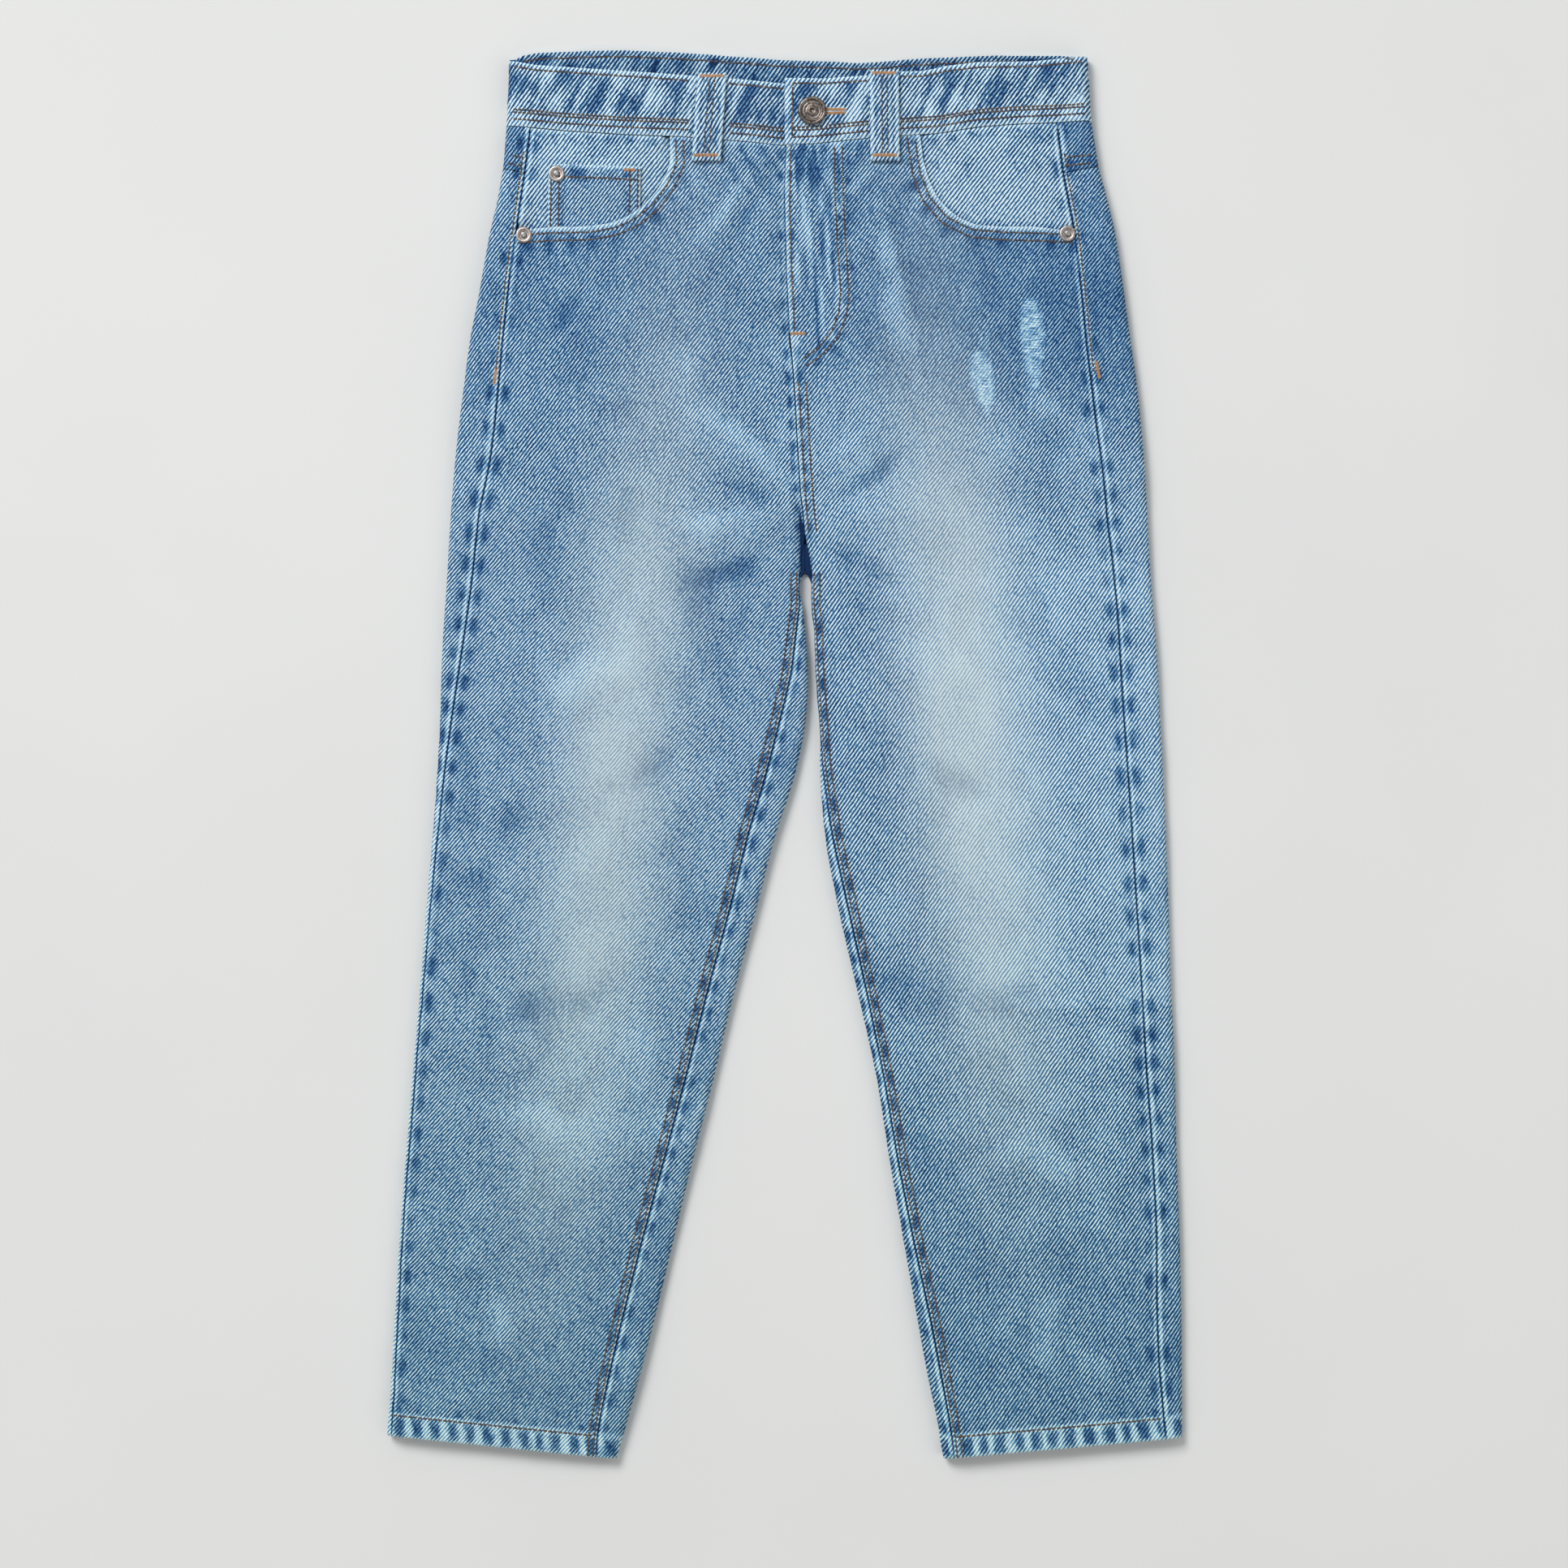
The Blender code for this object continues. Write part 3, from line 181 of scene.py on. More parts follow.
# y, dip of the right front under the fly, its lap past the centre seam.
FLY = [(400.0, 3.0, 6.0), (265.0, 3.0, 6.0), (252.0, 3.0, -0.3), (236.0, 0.0, -0.3), (200.0, 0.0, -0.3)]
CENTRE_BACK = 5.0
POCKET_LIFT = 1.8
LOOPS = [
    ("belt_loop_front_right", -43.4, 406.4, -47.0, 353.8, 1),
    ("belt_loop_front_left", 58.9, 408.2, 59.4, 353.8, 1),
    ("belt_loop_back_right", -92.0, 421.6, -90.0, 372.0, -1),
    ("belt_loop_back_left", 100.0, 417.6, 98.0, 372.0, -1),
    ("belt_loop_centre", 4.0, 415.4, 4.5, 366.0, -1),
]
# x, y of the lower edge of the band in front.
BAND_LOW = [
    (-190.0, 377.6), (-167.1, 376.1), (-152.0, 374.9), (-131.2, 372.7), (-96.3, 370.3), (-61.8, 368.8),
    (-37.1, 366.9), (-2.7, 364.0), (17.2, 364.5), (50.2, 367.9), (68.6, 369.3), (91.4, 370.8),
    (114.2, 374.7), (137.5, 376.6), (160.8, 377.6), (183.1, 379.3), (195.0, 380.0),
]
# x, y along each scooped pocket edge, from the band to the outseam.
SCOOPS = {
    -1: [
        (-68.6, 369.6), (-68.1, 353.3), (-73.0, 342.2), (-80.3, 332.0), (-90.9, 323.3), (-102.1, 317.9),
        (-117.6, 315.5), (-139.4, 315.2), (-160.8, 314.0),
    ],
    1: [
        (80.3, 370.6), (83.7, 348.0), (89.0, 334.4), (98.2, 323.7), (111.8, 316.9), (132.6, 315.3),
        (153.0, 315.0), (173.0, 314.0),
    ],
}
YOKE_SEAM = {-1: (350.6, 312.0), 1: (352.0, 312.0)}
COIN = ((-140.9, 352.8), (-86.1, 350.9), (-86.6, 304.0), (-142.0, 302.6))


def between(table, at, column=1):
    """Value of a table's column at a place, by straight steps."""
    rows = sorted(table)
    return np.interp(at, [row[0] for row in rows], [row[column] for row in rows])


def table_of(side):
    return RIGHT if side < 0 else LEFT


def by_section(side, y, column, key=0):
    """Value of a section column at y, measured at the outer fold (key 0) or at the inner edge (key 1)."""
    rows = table_of(side)
    return np.interp(-np.asarray(y), [-row[key] for row in rows], [row[column] for row in rows])


def outer_x(side, y):
    return by_section(side, y, 2)


def outseam_x(side, y):
    return outer_x(side, y) - side * by_section(side, y, 3)


def centre_x(y):
    """Centre front seam, down to the crotch point."""
    upper = RIGHT[: CROTCH + 1]
    return np.interp(-np.asarray(y), [-row[1] for row in upper], [row[4] for row in upper])


def bump(amount):
    """Soft step from 1 at nought to 0 at one."""
    return np.cos(0.5 * math.pi * np.clip(np.abs(amount), 0.0, 1.0)) ** 2


def dome(side, x, y, inner=None):
    """Height above the fold's top, over the hips and along each leg."""
    edge = outer_x(side, y)
    hips = between(HEIGHTS, y, 2) * np.maximum(0.0, 1.0 - ((x - CENTRE_BACK) / (edge - CENTRE_BACK)) ** 2)
    inner = by_section(side, y, 4, 1) if inner is None else inner
    share = 2.0 * (x - inner) / (edge - inner) - 1.0
    return hips + between(HEIGHTS, y, 3) * np.maximum(0.0, 1.0 - share * share)


def lift(x, y):
    """Rise of the underside over the back pockets and the loops, so that those lie flat."""
    total = np.zeros_like(np.asarray(x, float))
    for centre in (-87.0, 97.0):
        over = np.maximum(np.abs(x - centre) - 64.0, 0.0) + np.maximum(np.maximum(y - 300.0, 150.0 - y), 0.0)
        total = np.maximum(total, bump(over / 14.0))
    for _, high_x, _, low_x, low_y, face in LOOPS:
        if face < 0:
            over = np.maximum(np.abs(x - 0.5 * (high_x + low_x)) - 24.0, 0.0) + np.maximum(low_y - 8.0 - y, 0.0)
            total = np.maximum(total, bump(over / 14.0))
    return POCKET_LIFT * total


def top_z(side, x, y):
    """Outer surface of the front over the hips, before the dip under the fly."""
    radius = between(HEIGHTS, y, 1)
    inset = np.abs(x - outer_x(side, y))
    rise = np.where(inset >= radius, radius, np.sqrt(np.maximum(radius**2 - (radius - inset) ** 2, 0.0)))
    groove = between(GROOVE, y) * bump((x - centre_x(y)) / 8.0)
    return radius + rise + dome(side, x, y) * np.minimum(inset / radius, 1.0) - groove


def fly_dip(side, x, y):
    return 0.0 if side > 0 else between(FLY, y, 1) * bump(np.minimum(x - centre_x(y) + 1.0, 0.0) / 16.0)


def end_gap(side, y):
    """Where a front ends beside the centre seam: the right one laps under the left along the fly."""
    lap = between(FLY, y, 2)
    return 0.5 * SEAM if side > 0 else (lap if lap > 0 else -0.5 * SEAM)


def waist_y(x):
    return between(BAND_LOW, x) - SEAM


def crowded(start, end, count, pull=0.6):
    """Places from start to end, closer together near both ends."""
    steps = np.linspace(0.0, 1.0, count)
    return start + (end - start) * (steps - pull * np.sin(2.0 * math.pi * steps) / (2.0 * math.pi))


def fold_point(place, radius):
    """Inset and height at an arc length from a fold's middle, positive on top."""
    angle = np.clip(place / radius, -0.5 * math.pi, 0.5 * math.pi)
    past = np.maximum(np.abs(place) - 0.5 * math.pi * radius, 0.0)
    return radius * (1.0 - np.cos(angle)) + past, radius * (1.0 + np.sin(angle)), np.sin(angle)


def seam_place(distance, radius):
    """Arc length from a fold's middle to a seam this far in from it."""
    if distance >= radius:
        return 0.5 * math.pi * radius + distance - radius
    return radius * math.acos(1.0 - distance / radius)


def line_y(row, x):
    return row[0] + (row[1] - row[0]) * (x - row[2]) / (row[4] - row[2])


def front_section(side, number, columns):
    """One line across a front panel, from the outseam to the centre seam or the inseam."""
    row = table_of(side)[number]
    radius = float(between(HEIGHTS, row[0], 1))
    outer = seam_place(row[3], radius) + 0.5 * SEAM
    if number >= SADDLE:
        whole = abs(row[4] - row[2]) - 2.0 * radius + math.pi * radius
        inner = (seam_place(row[5], radius) if row[5] > 0 else 0.0) + 0.5 * SEAM
        places = crowded(outer, whole - inner, columns)
        near = places < 0.5 * whole
        inset, height, up = fold_point(np.where(near, places, whole - places), radius)
        x = np.where(near, row[2] - side * inset, row[4] + side * inset)
        y = line_y(row, x)
        return np.stack([x, y, height + dome(side, x, y, row[4]) * up * np.minimum(inset / radius, 1.0)], 1)
    end = row[4] + end_gap(side, row[1]) if number <= CROTCH else centre_x(row[1]) + 0.5 * side * SEAM
    x = crowded(row[2] - side * fold_point(outer, radius)[0], end, columns)
    y = line_y(row, x)
    line = np.stack([x, y, top_z(side, x, y) - fly_dip(side, x, y)], 1)
    if number > CROTCH:
        share = (number - CROTCH) / (SADDLE - CROTCH)
        turn = share * bump(np.minimum(np.linspace(0.0, 1.0, columns) - 0.72, 0.0) / 0.36)[:, None]
        target = front_section(side, SADDLE, columns) + (0.0, row[1] - table_of(side)[SADDLE][1], 0.0)
        line = (1.0 - turn) * line + turn * target
    return line


def densify(lines, pitch, knots=None, at=None):
    """Smooth rows between these, about a pitch apart, with where each line and each row lies."""
    lines = np.array(lines)
    if knots is None:
        gaps = np.linalg.norm(np.diff(lines, axis=0), axis=2).mean(axis=1)
        knots = np.concatenate([[0.0], np.cumsum(gaps)])
        steps = [np.linspace(a, b, max(2, int(math.ceil((b - a) / pitch)) + 1))[:-1] for a, b in zip(knots, knots[1:])]
        at = np.concatenate(steps + [knots[-1:]])
    slopes = np.gradient(lines, knots, axis=0)
    index = np.clip(np.searchsorted(knots, at, side="right") - 1, 0, len(knots) - 2)
    width = (knots[index + 1] - knots[index])[:, None, None]
    t = ((at - knots[index]) / width[:, 0, 0])[:, None, None]
    first, last = lines[index], lines[index + 1]
    smooth = (2 * t**3 - 3 * t**2 + 1) * first + (t**3 - 2 * t**2 + t) * width * slopes[index]
    smooth = smooth + (3 * t**2 - 2 * t**3) * last + (t**3 - t**2) * width * slopes[index + 1]
    return smooth, knots, at


def front_grid(side, columns=84, pitch=2.3):
    """Outer skin of a front: rows that fan from the pocket edge, then the full sections."""
    scoop = SCOOPS[side]
    reach = np.cumsum([0.0] + [math.dist(a, b) for a, b in zip(scoop, scoop[1:])])
    fan = ((0.0, 363.0), (0.16, 349.0), (0.34, 334.0), (0.52, 318.0), (0.68, 305.0), (0.84, 294.0))
    lines = []
    for share, y_end in fan:
        start = [np.interp(share * reach[-1], reach, [point[axis] for point in scoop]) for axis in (0, 1)]
        x = crowded(start[0], centre_x(y_end) + end_gap(side, y_end), columns)
        y = waist_y(x) if share == 0.0 else start[1] + (y_end - start[1]) * (x - x[0]) / (x[-1] - x[0])
        lines.append(np.stack([x, y, top_z(side, x, y) - fly_dip(side, x, y)], 1))
    lines += [front_section(side, number, columns) for number in range(FIRST_FULL, len(RIGHT))]
    return densify(lines, pitch)[0]


CREASES = [
    (52.0, 356.0, 79.0, 214.0, 9.0, 0.9),
    (60.0, 356.0, 93.0, 225.0, 5.5, -0.9),
    (18.0, 352.0, 22.0, 262.0, 4.0, -0.5),
    (26.0, 356.0, 29.0, 270.0, 3.5, 0.4),
    (-4.0, 352.0, -38.0, 292.0, 5.0, -0.6),
    (-14.0, 356.0, -58.0, 300.0, 5.0, 0.5),
    (-30.0, 350.0, -66.0, 310.0, 6.0, -0.5),
    (8.0, 160.0, -52.0, 206.0, 6.0, 0.7),
    (6.0, 150.0, -66.0, 178.0, 7.0, -0.7),
    (4.0, 142.0, -78.0, 140.0, 7.0, 0.6),
    (0.0, 126.0, -70.0, 98.0, 8.0, -0.6),
    (14.0, 160.0, 70.0, 214.0, 6.0, 0.7),
    (16.0, 150.0, 84.0, 182.0, 7.0, -0.6),
    (18.0, 140.0, 96.0, 146.0, 7.0, 0.6),
    (20.0, 126.0, 92.0, 96.0, 8.0, -0.6),
    (-110.0, 286.0, -150.0, 236.0, 7.0, -0.5),
    (-120.0, 240.0, -168.0, 196.0, 8.0, 0.5),
    (118.0, 288.0, 164.0, 230.0, 7.0, -0.6),
    (128.0, 240.0, 178.0, 190.0, 8.0, 0.5),
    (-60.0, 60.0, -150.0, 36.0, 11.0, 0.6),
    (-40.0, 6.0, -130.0, -26.0, 10.0, -0.6),
    (-70.0, -50.0, -170.0, -70.0, 12.0, 0.5),
    (70.0, 66.0, 160.0, 34.0, 11.0, 0.5),
    (64.0, 0.0, 150.0, -30.0, 10.0, -0.6),
    (90.0, -60.0, 196.0, -84.0, 12.0, 0.5),
    (-92.0, -140.0, -196.0, -164.0, 12.0, -0.5),
    (-104.0, -226.0, -206.0, -210.0, 12.0, 0.5),
    (-118.0, -300.0, -214.0, -324.0, 10.0, -0.5),
    (88.0, -150.0, 190.0, -140.0, 12.0, -0.5),
    (100.0, -236.0, 204.0, -252.0, 12.0, 0.5),
    (112.0, -318.0, 214.0, -304.0, 10.0, -0.5),
    (-150.0, -370.0, -190.0, -300.0, 7.0, 0.4),
    (150.0, -372.0, 176.0, -290.0, 7.0, 0.4),
]


def outseam_line(side):
    """Outseam on the top side, from the waist to the hem."""
    line = []
    for y in np.linspace(376.0, -405.0, 60):
        inset = float(by_section(side, y, 3))
        line.append((float(outseam_x(side, y)), y + float(top_slope(side, y)) * inset))
    return line


def top_slope(side, y_out):
    """Fall of a section's line from the outer fold inwards."""
    rows = table_of(side)
    slopes = [-0.1, -0.2, -0.18] + [(row[1] - row[0]) / abs(row[4] - row[2]) for row in rows[FIRST_FULL:]]
    return np.interp(-np.asarray(y_out), [-row[0] for row in rows], slopes)


def inseam_line(side):
    """Inseam from the saddle to the hem."""
    rows = table_of(side)[SADDLE:]
    return [(row[4] + side * row[5], line_y(row, row[4] + side * row[5])) for row in rows]


def to_line(x, y, line):
    """Distance to a line of points, positive on its left, and the length along it."""
    best = np.full(np.shape(x), 1e9)
    signed, along = np.zeros_like(best), np.zeros_like(best)
    gone = 0.0
    for (ax, ay), (bx, by) in zip(line, line[1:]):
        length = math.dist((ax, ay), (bx, by))
        share = np.clip(((x - ax) * (bx - ax) + (y - ay) * (by - ay)) / length**2, 0.0, 1.0)
        away = np.hypot(x - ax - share * (bx - ax), y - ay - share * (by - ay))
        turn = (bx - ax) * (y - ay) - (by - ay) * (x - ax)
        closer = away < best - 1e-9
        best = np.where(closer, away, best)
        signed = np.where(closer, np.where(turn > 0, away, -away), signed)
        along = np.where(closer, gone + share * length, along)
        gone += length
    return signed, along


def scatter(number, seed):
    """A fixed random value from 0 to 1 for each whole number."""
    value = np.sin(np.asarray(number, float) * 12.9898 + seed * 78.233) * 43758.5453
    return value - np.floor(value)


def rough(x, y, size, seed):
    """Smooth random heights from -1 to 1, with lumps about this size."""
    u, v = np.asarray(x) / size, np.asarray(y) / size
    i, j = np.floor(u), np.floor(v)
    s, t = u - i, v - j
    s, t = s * s * (3 - 2 * s), t * t * (3 - 2 * t)
    corner = [scatter(i + a + 57.0 * (j + b), seed) for b in (0, 1) for a in (0, 1)]
    return 2 * ((corner[0] * (1 - s) + corner[1] * s) * (1 - t) + (corner[2] * (1 - s) + corner[3] * s) * t) - 1


def creased(x, y):
    """Soft folds that every layer on the top follows, calm under the metal pieces."""
    total = 0.4 * rough(x, y, 46.0, 3) + 0.25 * rough(x * 1.6, y, 19.0, 5)
    for ax, ay, bx, by, wide, high in CREASES:
        length = math.dist((ax, ay), (bx, by))
        share = ((x - ax) * (bx - ax) + (y - ay) * (by - ay)) / length**2
        away = ((x - ax) * (by - ay) - (y - ay) * (bx - ax)) / length
        away = away + 2.5 * np.sin(share * 5.0 + ax)
        total = total + high * bump((share - 0.5) / 0.62) * np.exp(-((away / wide) ** 2))
    for at_x, at_y in CALM:
        total = total * (1.0 - np.exp(-(((x - at_x) ** 2 + (y - at_y) ** 2) / 200.0)))
    return total * np.clip((395.0 - y) / 60.0, 0.25, 1.0)


CALM = [(16.0, 383.7), (-155.9, 310.6), (168.2, 311.4), (-136.2, 346.9)]


def puckers(along, pitch, seed):
    """Gathered spots along a seam: how strong each is, at this length along it."""
    moved = along / pitch + 0.35 * np.sin(along / (2.7 * pitch) + seed)
    number = np.floor(moved)
    return bump(2.0 * (moved - number) - 1.0) ** 1.3 * (0.35 + 0.65 * scatter(number, seed))


J_LINE = [
    (34.2, 363.0), (34.7, 327.6), (36.6, 295.1), (38.1, 276.7), (36.6, 262.6), (31.8, 250.0), (22.6, 238.9),
    (12.4, 232.1),
]
CENTRE_LINE = [(float(centre_x(y)), y) for y in (364, 328, 291, 253, 223, 200, 178, 156, 134)]
# Seam: which side, its line, pitch of the puckers, reach of one, its depth, which face, and the pieces on it.
SEWN = [("waist", 0, [(x, y) for x, y in BAND_LOW], 12.0, 4.5, 0.3, 1, ("front", "facing"))]
SEWN += [("fly stitch", 0, J_LINE, 11.0, 3.0, 0.25, 1, ("front",))]
SEWN += [("centre", 0, CENTRE_LINE, 13.0, 3.5, 0.3, 1, ("front",))]
SEWN += [("centre back", 0, [(CENTRE_BACK, 365.0), (CENTRE_BACK, 170.0), (11.8, 113.0)], 13.0, 3.5, 0.3, -1, ("back", "yoke"))]
for wearer in SIDES:
    SEWN += [("outseam", wearer, outseam_line(wearer), 19.0, 5.0, 0.5, 1, ("front", "back", "yoke", "facing"))]
    SEWN += [("inseam", wearer, inseam_line(wearer), 16.0, 4.0, 0.4, 1, ("front", "back"))]
    SEWN += [("pocket", wearer, SCOOPS[wearer], 13.0, 11.0, 0.3, 1, ("front",))]
    yoke_line = [(float(outer_x(wearer, YOKE_SEAM[wearer][0])), YOKE_SEAM[wearer][0]), (CENTRE_BACK, YOKE_SEAM[wearer][1])]
    SEWN += [("yoke seam", wearer, yoke_line, 14.0, 4.0, 0.3, -1, ("back", "yoke"))]
# Worn-through places on the wearer's left hip: top, middle and foot of each, and its half width.
FRAYED = [((145.6, 276.0), (147.2, 253.0), (149.4, 216.5), 8.2), ((113.5, 241.5), (119.5, 219.0), (120.4, 203.0), 7.4)]


def wear_and_shade(side, kind, points, normal):
    """Relief in mm and the wash's masks (faded, indigo left and painted shade, worn white and some painted highlight,
    frayed) at the points of a piece.
    """
    x, y, up = points[:, 0], points[:, 1], normal[:, 2]
    top = np.clip(1.5 * up + 0.75, 0.0, 1.0)
    under = np.clip(-1.5 * up - 0.2, 0.0, 1.0)
    relief, indigo_and_shade, white, frayed = (np.zeros_like(x) for _ in range(4))
    for name, owner, line, pitch, reach, deep, face, kinds in SEWN:
        if kind not in kinds or owner not in (0, side):
            continue
        signed, along = to_line(x, y, line)
        away = np.abs(signed)
        gate = top if face > 0 else under
        gather = puckers(along, pitch, len(name) + owner)
        relief -= deep * gather * np.exp(-(((away - 0.6 * reach) / reach) ** 2)) * gate
        spot = np.minimum(1.5 * gather, 1.0) * np.exp(-(((away - 0.9 * reach) / (0.6 * reach)) ** 2))
        indigo_and_shade = np.maximum(indigo_and_shade, spot * gate * (0.7 if name == "waist" else 0.87))
        pale = {"pocket": (1.0, 2.4), "centre": (0.85, 2.2), "waist": (0.5, 1.5), "fly stitch": (0.0, 1.0)}
        strength, breadth = pale.get(name, (0.6, 2.4) if kind == "front" else (0.95, 3.0))
        worn = np.exp(-((away / breadth) ** 2)) if name in pale else bump((away - 0.5 * breadth) / (0.75 * breadth))
        white = np.maximum(white, strength * (1.0 - 0.4 * gather) * worn * gate)
        if name not in pale or (name == "centre" and side < 0):
            # Painted shadow in the seam ditch: the darkest navy, over a real shallow groove.
            seam_painted_shadow = np.exp(-((away / 0.75) ** 2)) * gate
            white, indigo_and_shade = white * (1.0 - seam_painted_shadow), np.maximum(indigo_and_shade, 1.0 * seam_painted_shadow)
            relief -= 0.35 * seam_painted_shadow
        if name == "inseam" and kind == "front":
            relief += 0.4 * bump(np.maximum(np.abs(away - 3.6) - 3.0, 0.0) / 1.2) * gate
        if name in ("pocket", "centre"):
            relief += 0.25 * bump(np.maximum(away - 8.6, 0.0) / 1.2) * gate
    folds = 1.6 * creased(x, y)
    # Fold ridges are drawn paler, partly as rubbed wear and partly as painted highlight; fold troughs are drawn darker
    # as painted shade.
    if kind in ("front", "back"):
        white = np.maximum(white, 0.35 * np.clip(folds - 0.25, 0.0, 1.0) * top)
        indigo_and_shade = np.maximum(indigo_and_shade, 0.6 * np.clip(-folds - 0.25, 0.0, 1.0) * top)
    relief += np.where(up > 0, folds * up, np.abs(folds) * np.minimum(up, 0.0))
    if kind in ("front", "back"):
        height = y - line_y(table_of(side)[-1], x)
        hem = bump(np.maximum(height - 12.4, 0.0) / 1.2)
        slant = 2.0 * math.pi * (x + 0.12 * height) / 10.6 + 1.3 * rough(x, 0.3 * y, 14.0, 9)
        rope = np.sin(slant) + 0.35 * rough(x, y, 3.0, 10)
        relief += hem * (0.25 + 0.3 * rope * bump((height - 7.0) / 8.0)) * np.clip(up, 0.0, 1.0)
        middle = bump((height - 6.4) / 6.6) ** 0.4 * (height < 12.6)
        indigo_and_shade = np.maximum(indigo_and_shade, middle * np.clip(2.0 * rope + 0.3, 0, 1) * (0.6 + 0.27 * scatter(np.floor(slant / 2 / math.pi), 8)))
        indigo_and_shade = np.maximum(indigo_and_shade, 0.9 * bump((height - 16.5) / 4.0) * puckers(x, 10.6, 4))
        white = np.maximum(white, hem * np.clip(-1.6 * rope, 0, 1) * 0.7 + 0.85 * bump(height / 1.8) * (height < 1.8))
        white = np.maximum(white, 0.6 * np.exp(-(((height - 13.2) / 1.2) ** 2)))
    if kind == "front" and side > 0:
        for high, wide, low, half in FRAYED:
            signed, along = to_line(x, y, [high, wide, low])
            whole = math.dist(high, wide) + math.dist(wide, low)
            share = np.clip(along / whole, 0.0, 1.0)
            swell = np.sin(math.pi * share**0.8) ** 0.7 * half + 1.4 * rough(x, y, 2.6, 6)
            frayed = np.maximum(frayed, np.clip((swell - np.abs(signed)) / 2.6, 0.0, 1.0))
        frayed = frayed * np.clip(0.75 + 0.5 * rough(x, 1.6 * y, 2.6, 7), 0.0, 1.0)
    if kind == "band":
        slanted = 1.2 * rough(x - 0.4 * y, 0.12 * y, 2.6, 21) + 0.5 * rough(x - 0.4 * y, 0.3 * y, 1.5, 24)
        blot = rough(x, 1.4 * y, 13.0, 22)
        indigo_and_shade = np.clip(0.8 * slanted + 0.75 * blot + 0.1, 0.0, 0.8)
        white = np.clip(-0.75 * slanted - 0.1 - 0.5 * blot, 0.0, 0.8)
        low = np.where(points[:, 2] > 6.5, y - between(BAND_LOW, x), y - back_seam(side, x))
        high = np.where(points[:, 2] > 6.5, between(BAND_TOP[side], x), between(BAND_BACK, x)) - y
        calm_edge = np.exp(-((np.minimum(low, high) / 2.0) ** 2))
        indigo_and_shade = indigo_and_shade * (1.0 - calm_edge) * np.where(low < 10.5, 0.45, 1.0)
        # Painted shade along the step above the band's lowest stripe, over a real shallow groove.
        indigo_and_shade = np.maximum(indigo_and_shade, 0.55 * bump((low - 11.5) / 1.8))
        white = np.maximum(white * np.where(low < 10.5, 1.2, 1.0), 0.8 * calm_edge)
        if side > 0:
            white = np.maximum(white, 0.85 * np.exp(-(((x - centre_x(363.0)) / 2.6) ** 2)) * (up > 0))
        relief += 0.22 * slanted * (1.0 - calm_edge) - 0.3 * bump((low - 11.5) / 2.0)
    if kind == "loop":
        for _, high_x, high_y, low_x, low_y, face in LOOPS:
            away = np.abs(to_line(x, y, [(high_x, high_y), (low_x, low_y)])[0])
            white = np.maximum(white, 0.85 * bump((away - 7.6) / 2.6) * (away < 11.0))
            white = np.maximum(white, 0.35 * bump((away - 3.2) / 1.6) * (away < 11.0))
            indigo_and_shade = np.maximum(indigo_and_shade, 0.8 * np.clip(rough(x, 0.5 * y, 3.0, 31), 0, 1) * (away < 7.0))
            relief -= 0.22 * bump((away - 4.8) / 1.4) * (away < 11.0)
    if kind == "pocket":
        outline = list(BACK_POCKETS[side]) + [BACK_POCKETS[side][0]]
        signed, along = to_line(x, y, outline)
        away = np.abs(signed)
        white = np.maximum(white, 0.8 * np.exp(-((away / 1.3) ** 2)))
        indigo_and_shade = np.maximum(indigo_and_shade, 0.8 * puckers(along, 12.0, 3) * np.exp(-(((away - 4.5) / 3.0) ** 2)))
    if kind == "coin":
        edge = [COIN[0], COIN[1], COIN[2], COIN[3], COIN[0]]
        away = np.abs(to_line(x, y, edge)[0])
        white = np.maximum(white, 0.85 * np.exp(-((away / 1.6) ** 2)))
        indigo_and_shade = np.maximum(indigo_and_shade, 0.55 * bump((away - 8.5) / 3.0) * (0.6 + 0.4 * rough(x, y, 5.0, 35)))
        indigo_and_shade = np.maximum(indigo_and_shade, 0.8 * np.clip(rough(x, y, 5.5, 36), 0, 1) * (y > 344.0))
        relief += 0.2 * (y > 344.0)
    if kind == "facing":
        indigo_and_shade = np.maximum(indigo_and_shade, 0.9 * np.clip(rough(x, y, 9.0, 37) - 0.1, 0, 1) * np.clip((y - 335.0) / 25.0, 0.1, 1.0))
        # Painted shadow of the front's pocket edge on the facing, darker within 4 mm of the scoop.
        indigo_and_shade = np.maximum(indigo_and_shade, 0.5 * bump(outside_scoop(side, x, y) / 4.0))
    if kind == "front":
        lined = rough(x + 0.05 * y, 0.14 * y, 2.7, 41) * bump(np.maximum(np.abs(x - 19.0) - 14.0, 0.0) / 4.0) * (y > 236.0)
        white = np.maximum(white, 0.7 * np.clip(lined, 0, 1))
        indigo_and_shade = np.maximum(indigo_and_shade, 1.0 * np.clip(-1.3 * lined - 0.1, 0, 0.85))
        below_waist = rough(x - 0.75 * y * np.sign(x - 5.0), 0.3 * y, 4.6, 43) * bump(np.minimum(y - 356.0, 0.0) / 60.0) * (y > 290.0)
        white = np.maximum(white, 0.5 * np.clip(below_waist - 0.1, 0, 1))
        indigo_and_shade = np.maximum(indigo_and_shade, 0.6 * np.clip(-below_waist - 0.05, 0, 1))
